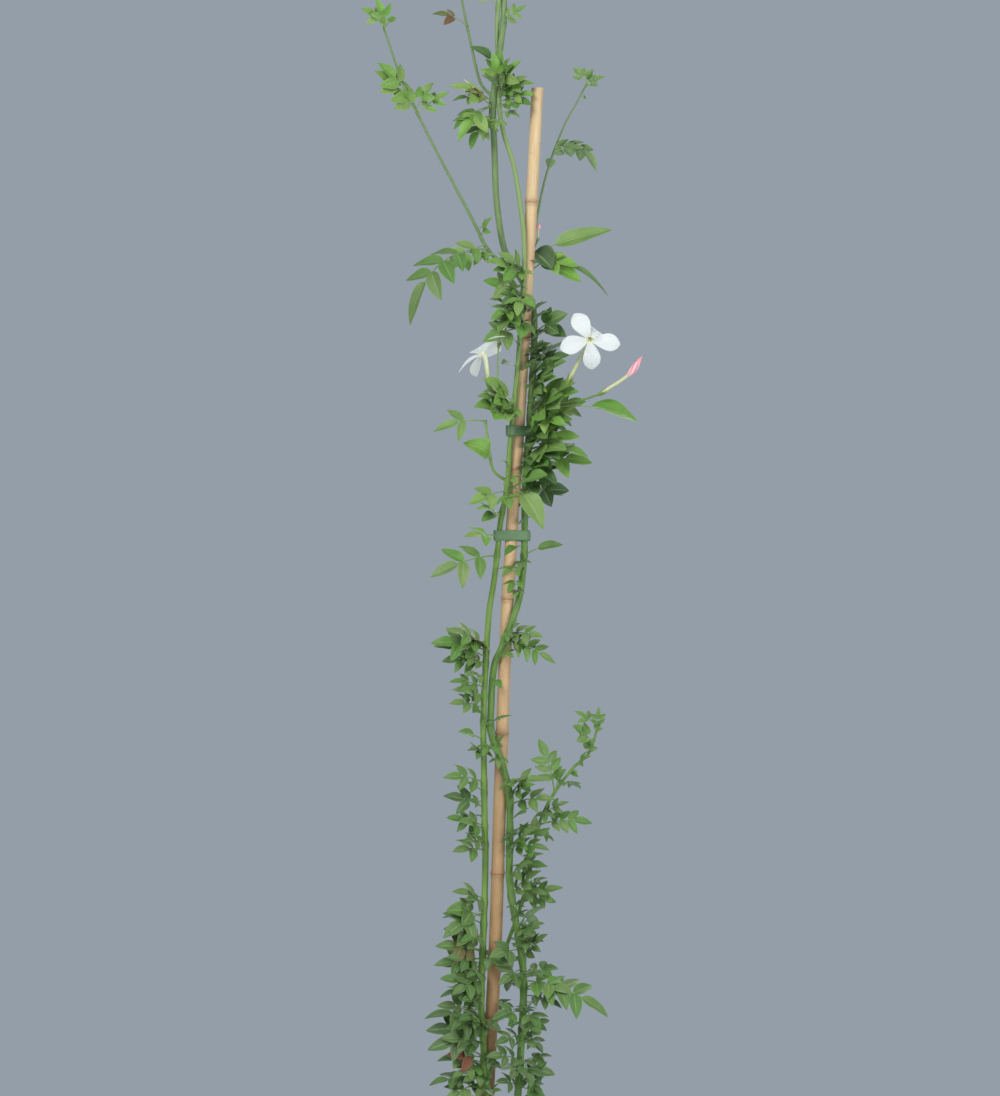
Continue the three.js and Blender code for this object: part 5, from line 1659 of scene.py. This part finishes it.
stand_for(cane_skin().piece("bamboo_cane", bamboo_finish(), 50), "bamboo", "cane")
stand_for(drained(pot_skin().piece("nursery_pot", pot_finish())), "pot_plastic", "pot")
compost_brown = compost_finish()
stand_for(soil_skin().piece("compost_fill", compost_brown, 80), "compost", "compost")
stand_for(crumb_skin().piece("compost_crumbs", compost_brown, 60), "compost", "compost")
tape_green = tape_finish()
for i, tie_height in enumerate(TIE_HEIGHTS):
    tie = Skin()
    add_tie(tie, tie_height)
    stand_for(tie.piece(f"tape_tie_{i + 1}", tape_green), "tie_tape", f"tie_{i + 1}")


# Camera, floor and light

def aim(thing, origin, target):
    """Places a light or the camera, looking at a point, in metres."""
    bpy.context.scene.collection.objects.link(thing)
    thing.location = origin
    way = unit(np.array(target, float) - np.array(origin, float))
    right_way = unit(np.cross(way, UP))
    upward_way = np.cross(right_way, way)
    turn = np.array([right_way, upward_way, -way]).T
    thing.rotation_euler = Matrix(turn.tolist()).to_euler()


photo_centre = place(PHOTO_WIDTH / 2 - CANE_PIXEL, 0, GROUND_PIXEL - PHOTO_HEIGHT / 2) * PIXEL * MM
camera_distance = PHOTO_HEIGHT * PIXEL * MM * LENS / SENSOR
camera_data = bpy.data.cameras.new("photo_view")
camera_data.lens = LENS
camera_data.sensor_width = SENSOR
camera_data.clip_end = 50
camera = bpy.data.objects.new("photo_view", camera_data)
aim(camera, photo_centre - place(0, camera_distance, 0), photo_centre)
bpy.context.scene.camera = camera

FLOOR_RADIUS = 2.4
floor_mesh = bpy.data.meshes.new("floor")
floor_rim = [
    (FLOOR_RADIUS * math.cos(turn), FLOOR_RADIUS * math.sin(turn), 0) for turn in round_turns(96)
]
floor_mesh.from_pydata(floor_rim, [], [list(range(len(floor_rim)))])
floor_mesh.materials.append(floor_finish())
floor = bpy.data.objects.new("floor", floor_mesh)
bpy.context.scene.collection.objects.link(floor)


LIGHT_TARGET = (0, 0, 0.6)
BACKDROP = paint(148, 158, 168)


def softbox(name, origin, width, power):
    light = bpy.data.lights.new(name, "AREA")
    light.shape = "SQUARE"
    light.size = width
    light.energy = power
    aim(bpy.data.objects.new(name, light), origin, LIGHT_TARGET)


softbox("key", (-1.5, -2.4, 2.5), 1.8, 86)
softbox("fill", (2.4, -2.0, 1.2), 2.0, 35)
softbox("back", (0.8, 2.4, 2.2), 1.6, 34)
softbox("low", (1.2, -2.8, 0.3), 1.8, 35)

world = bpy.data.worlds.new("backdrop")
world.use_nodes = True
world.node_tree.nodes["Background"].inputs["Color"].default_value = BACKDROP
bpy.context.scene.world = world
bpy.context.scene.view_settings.view_transform = "Standard"
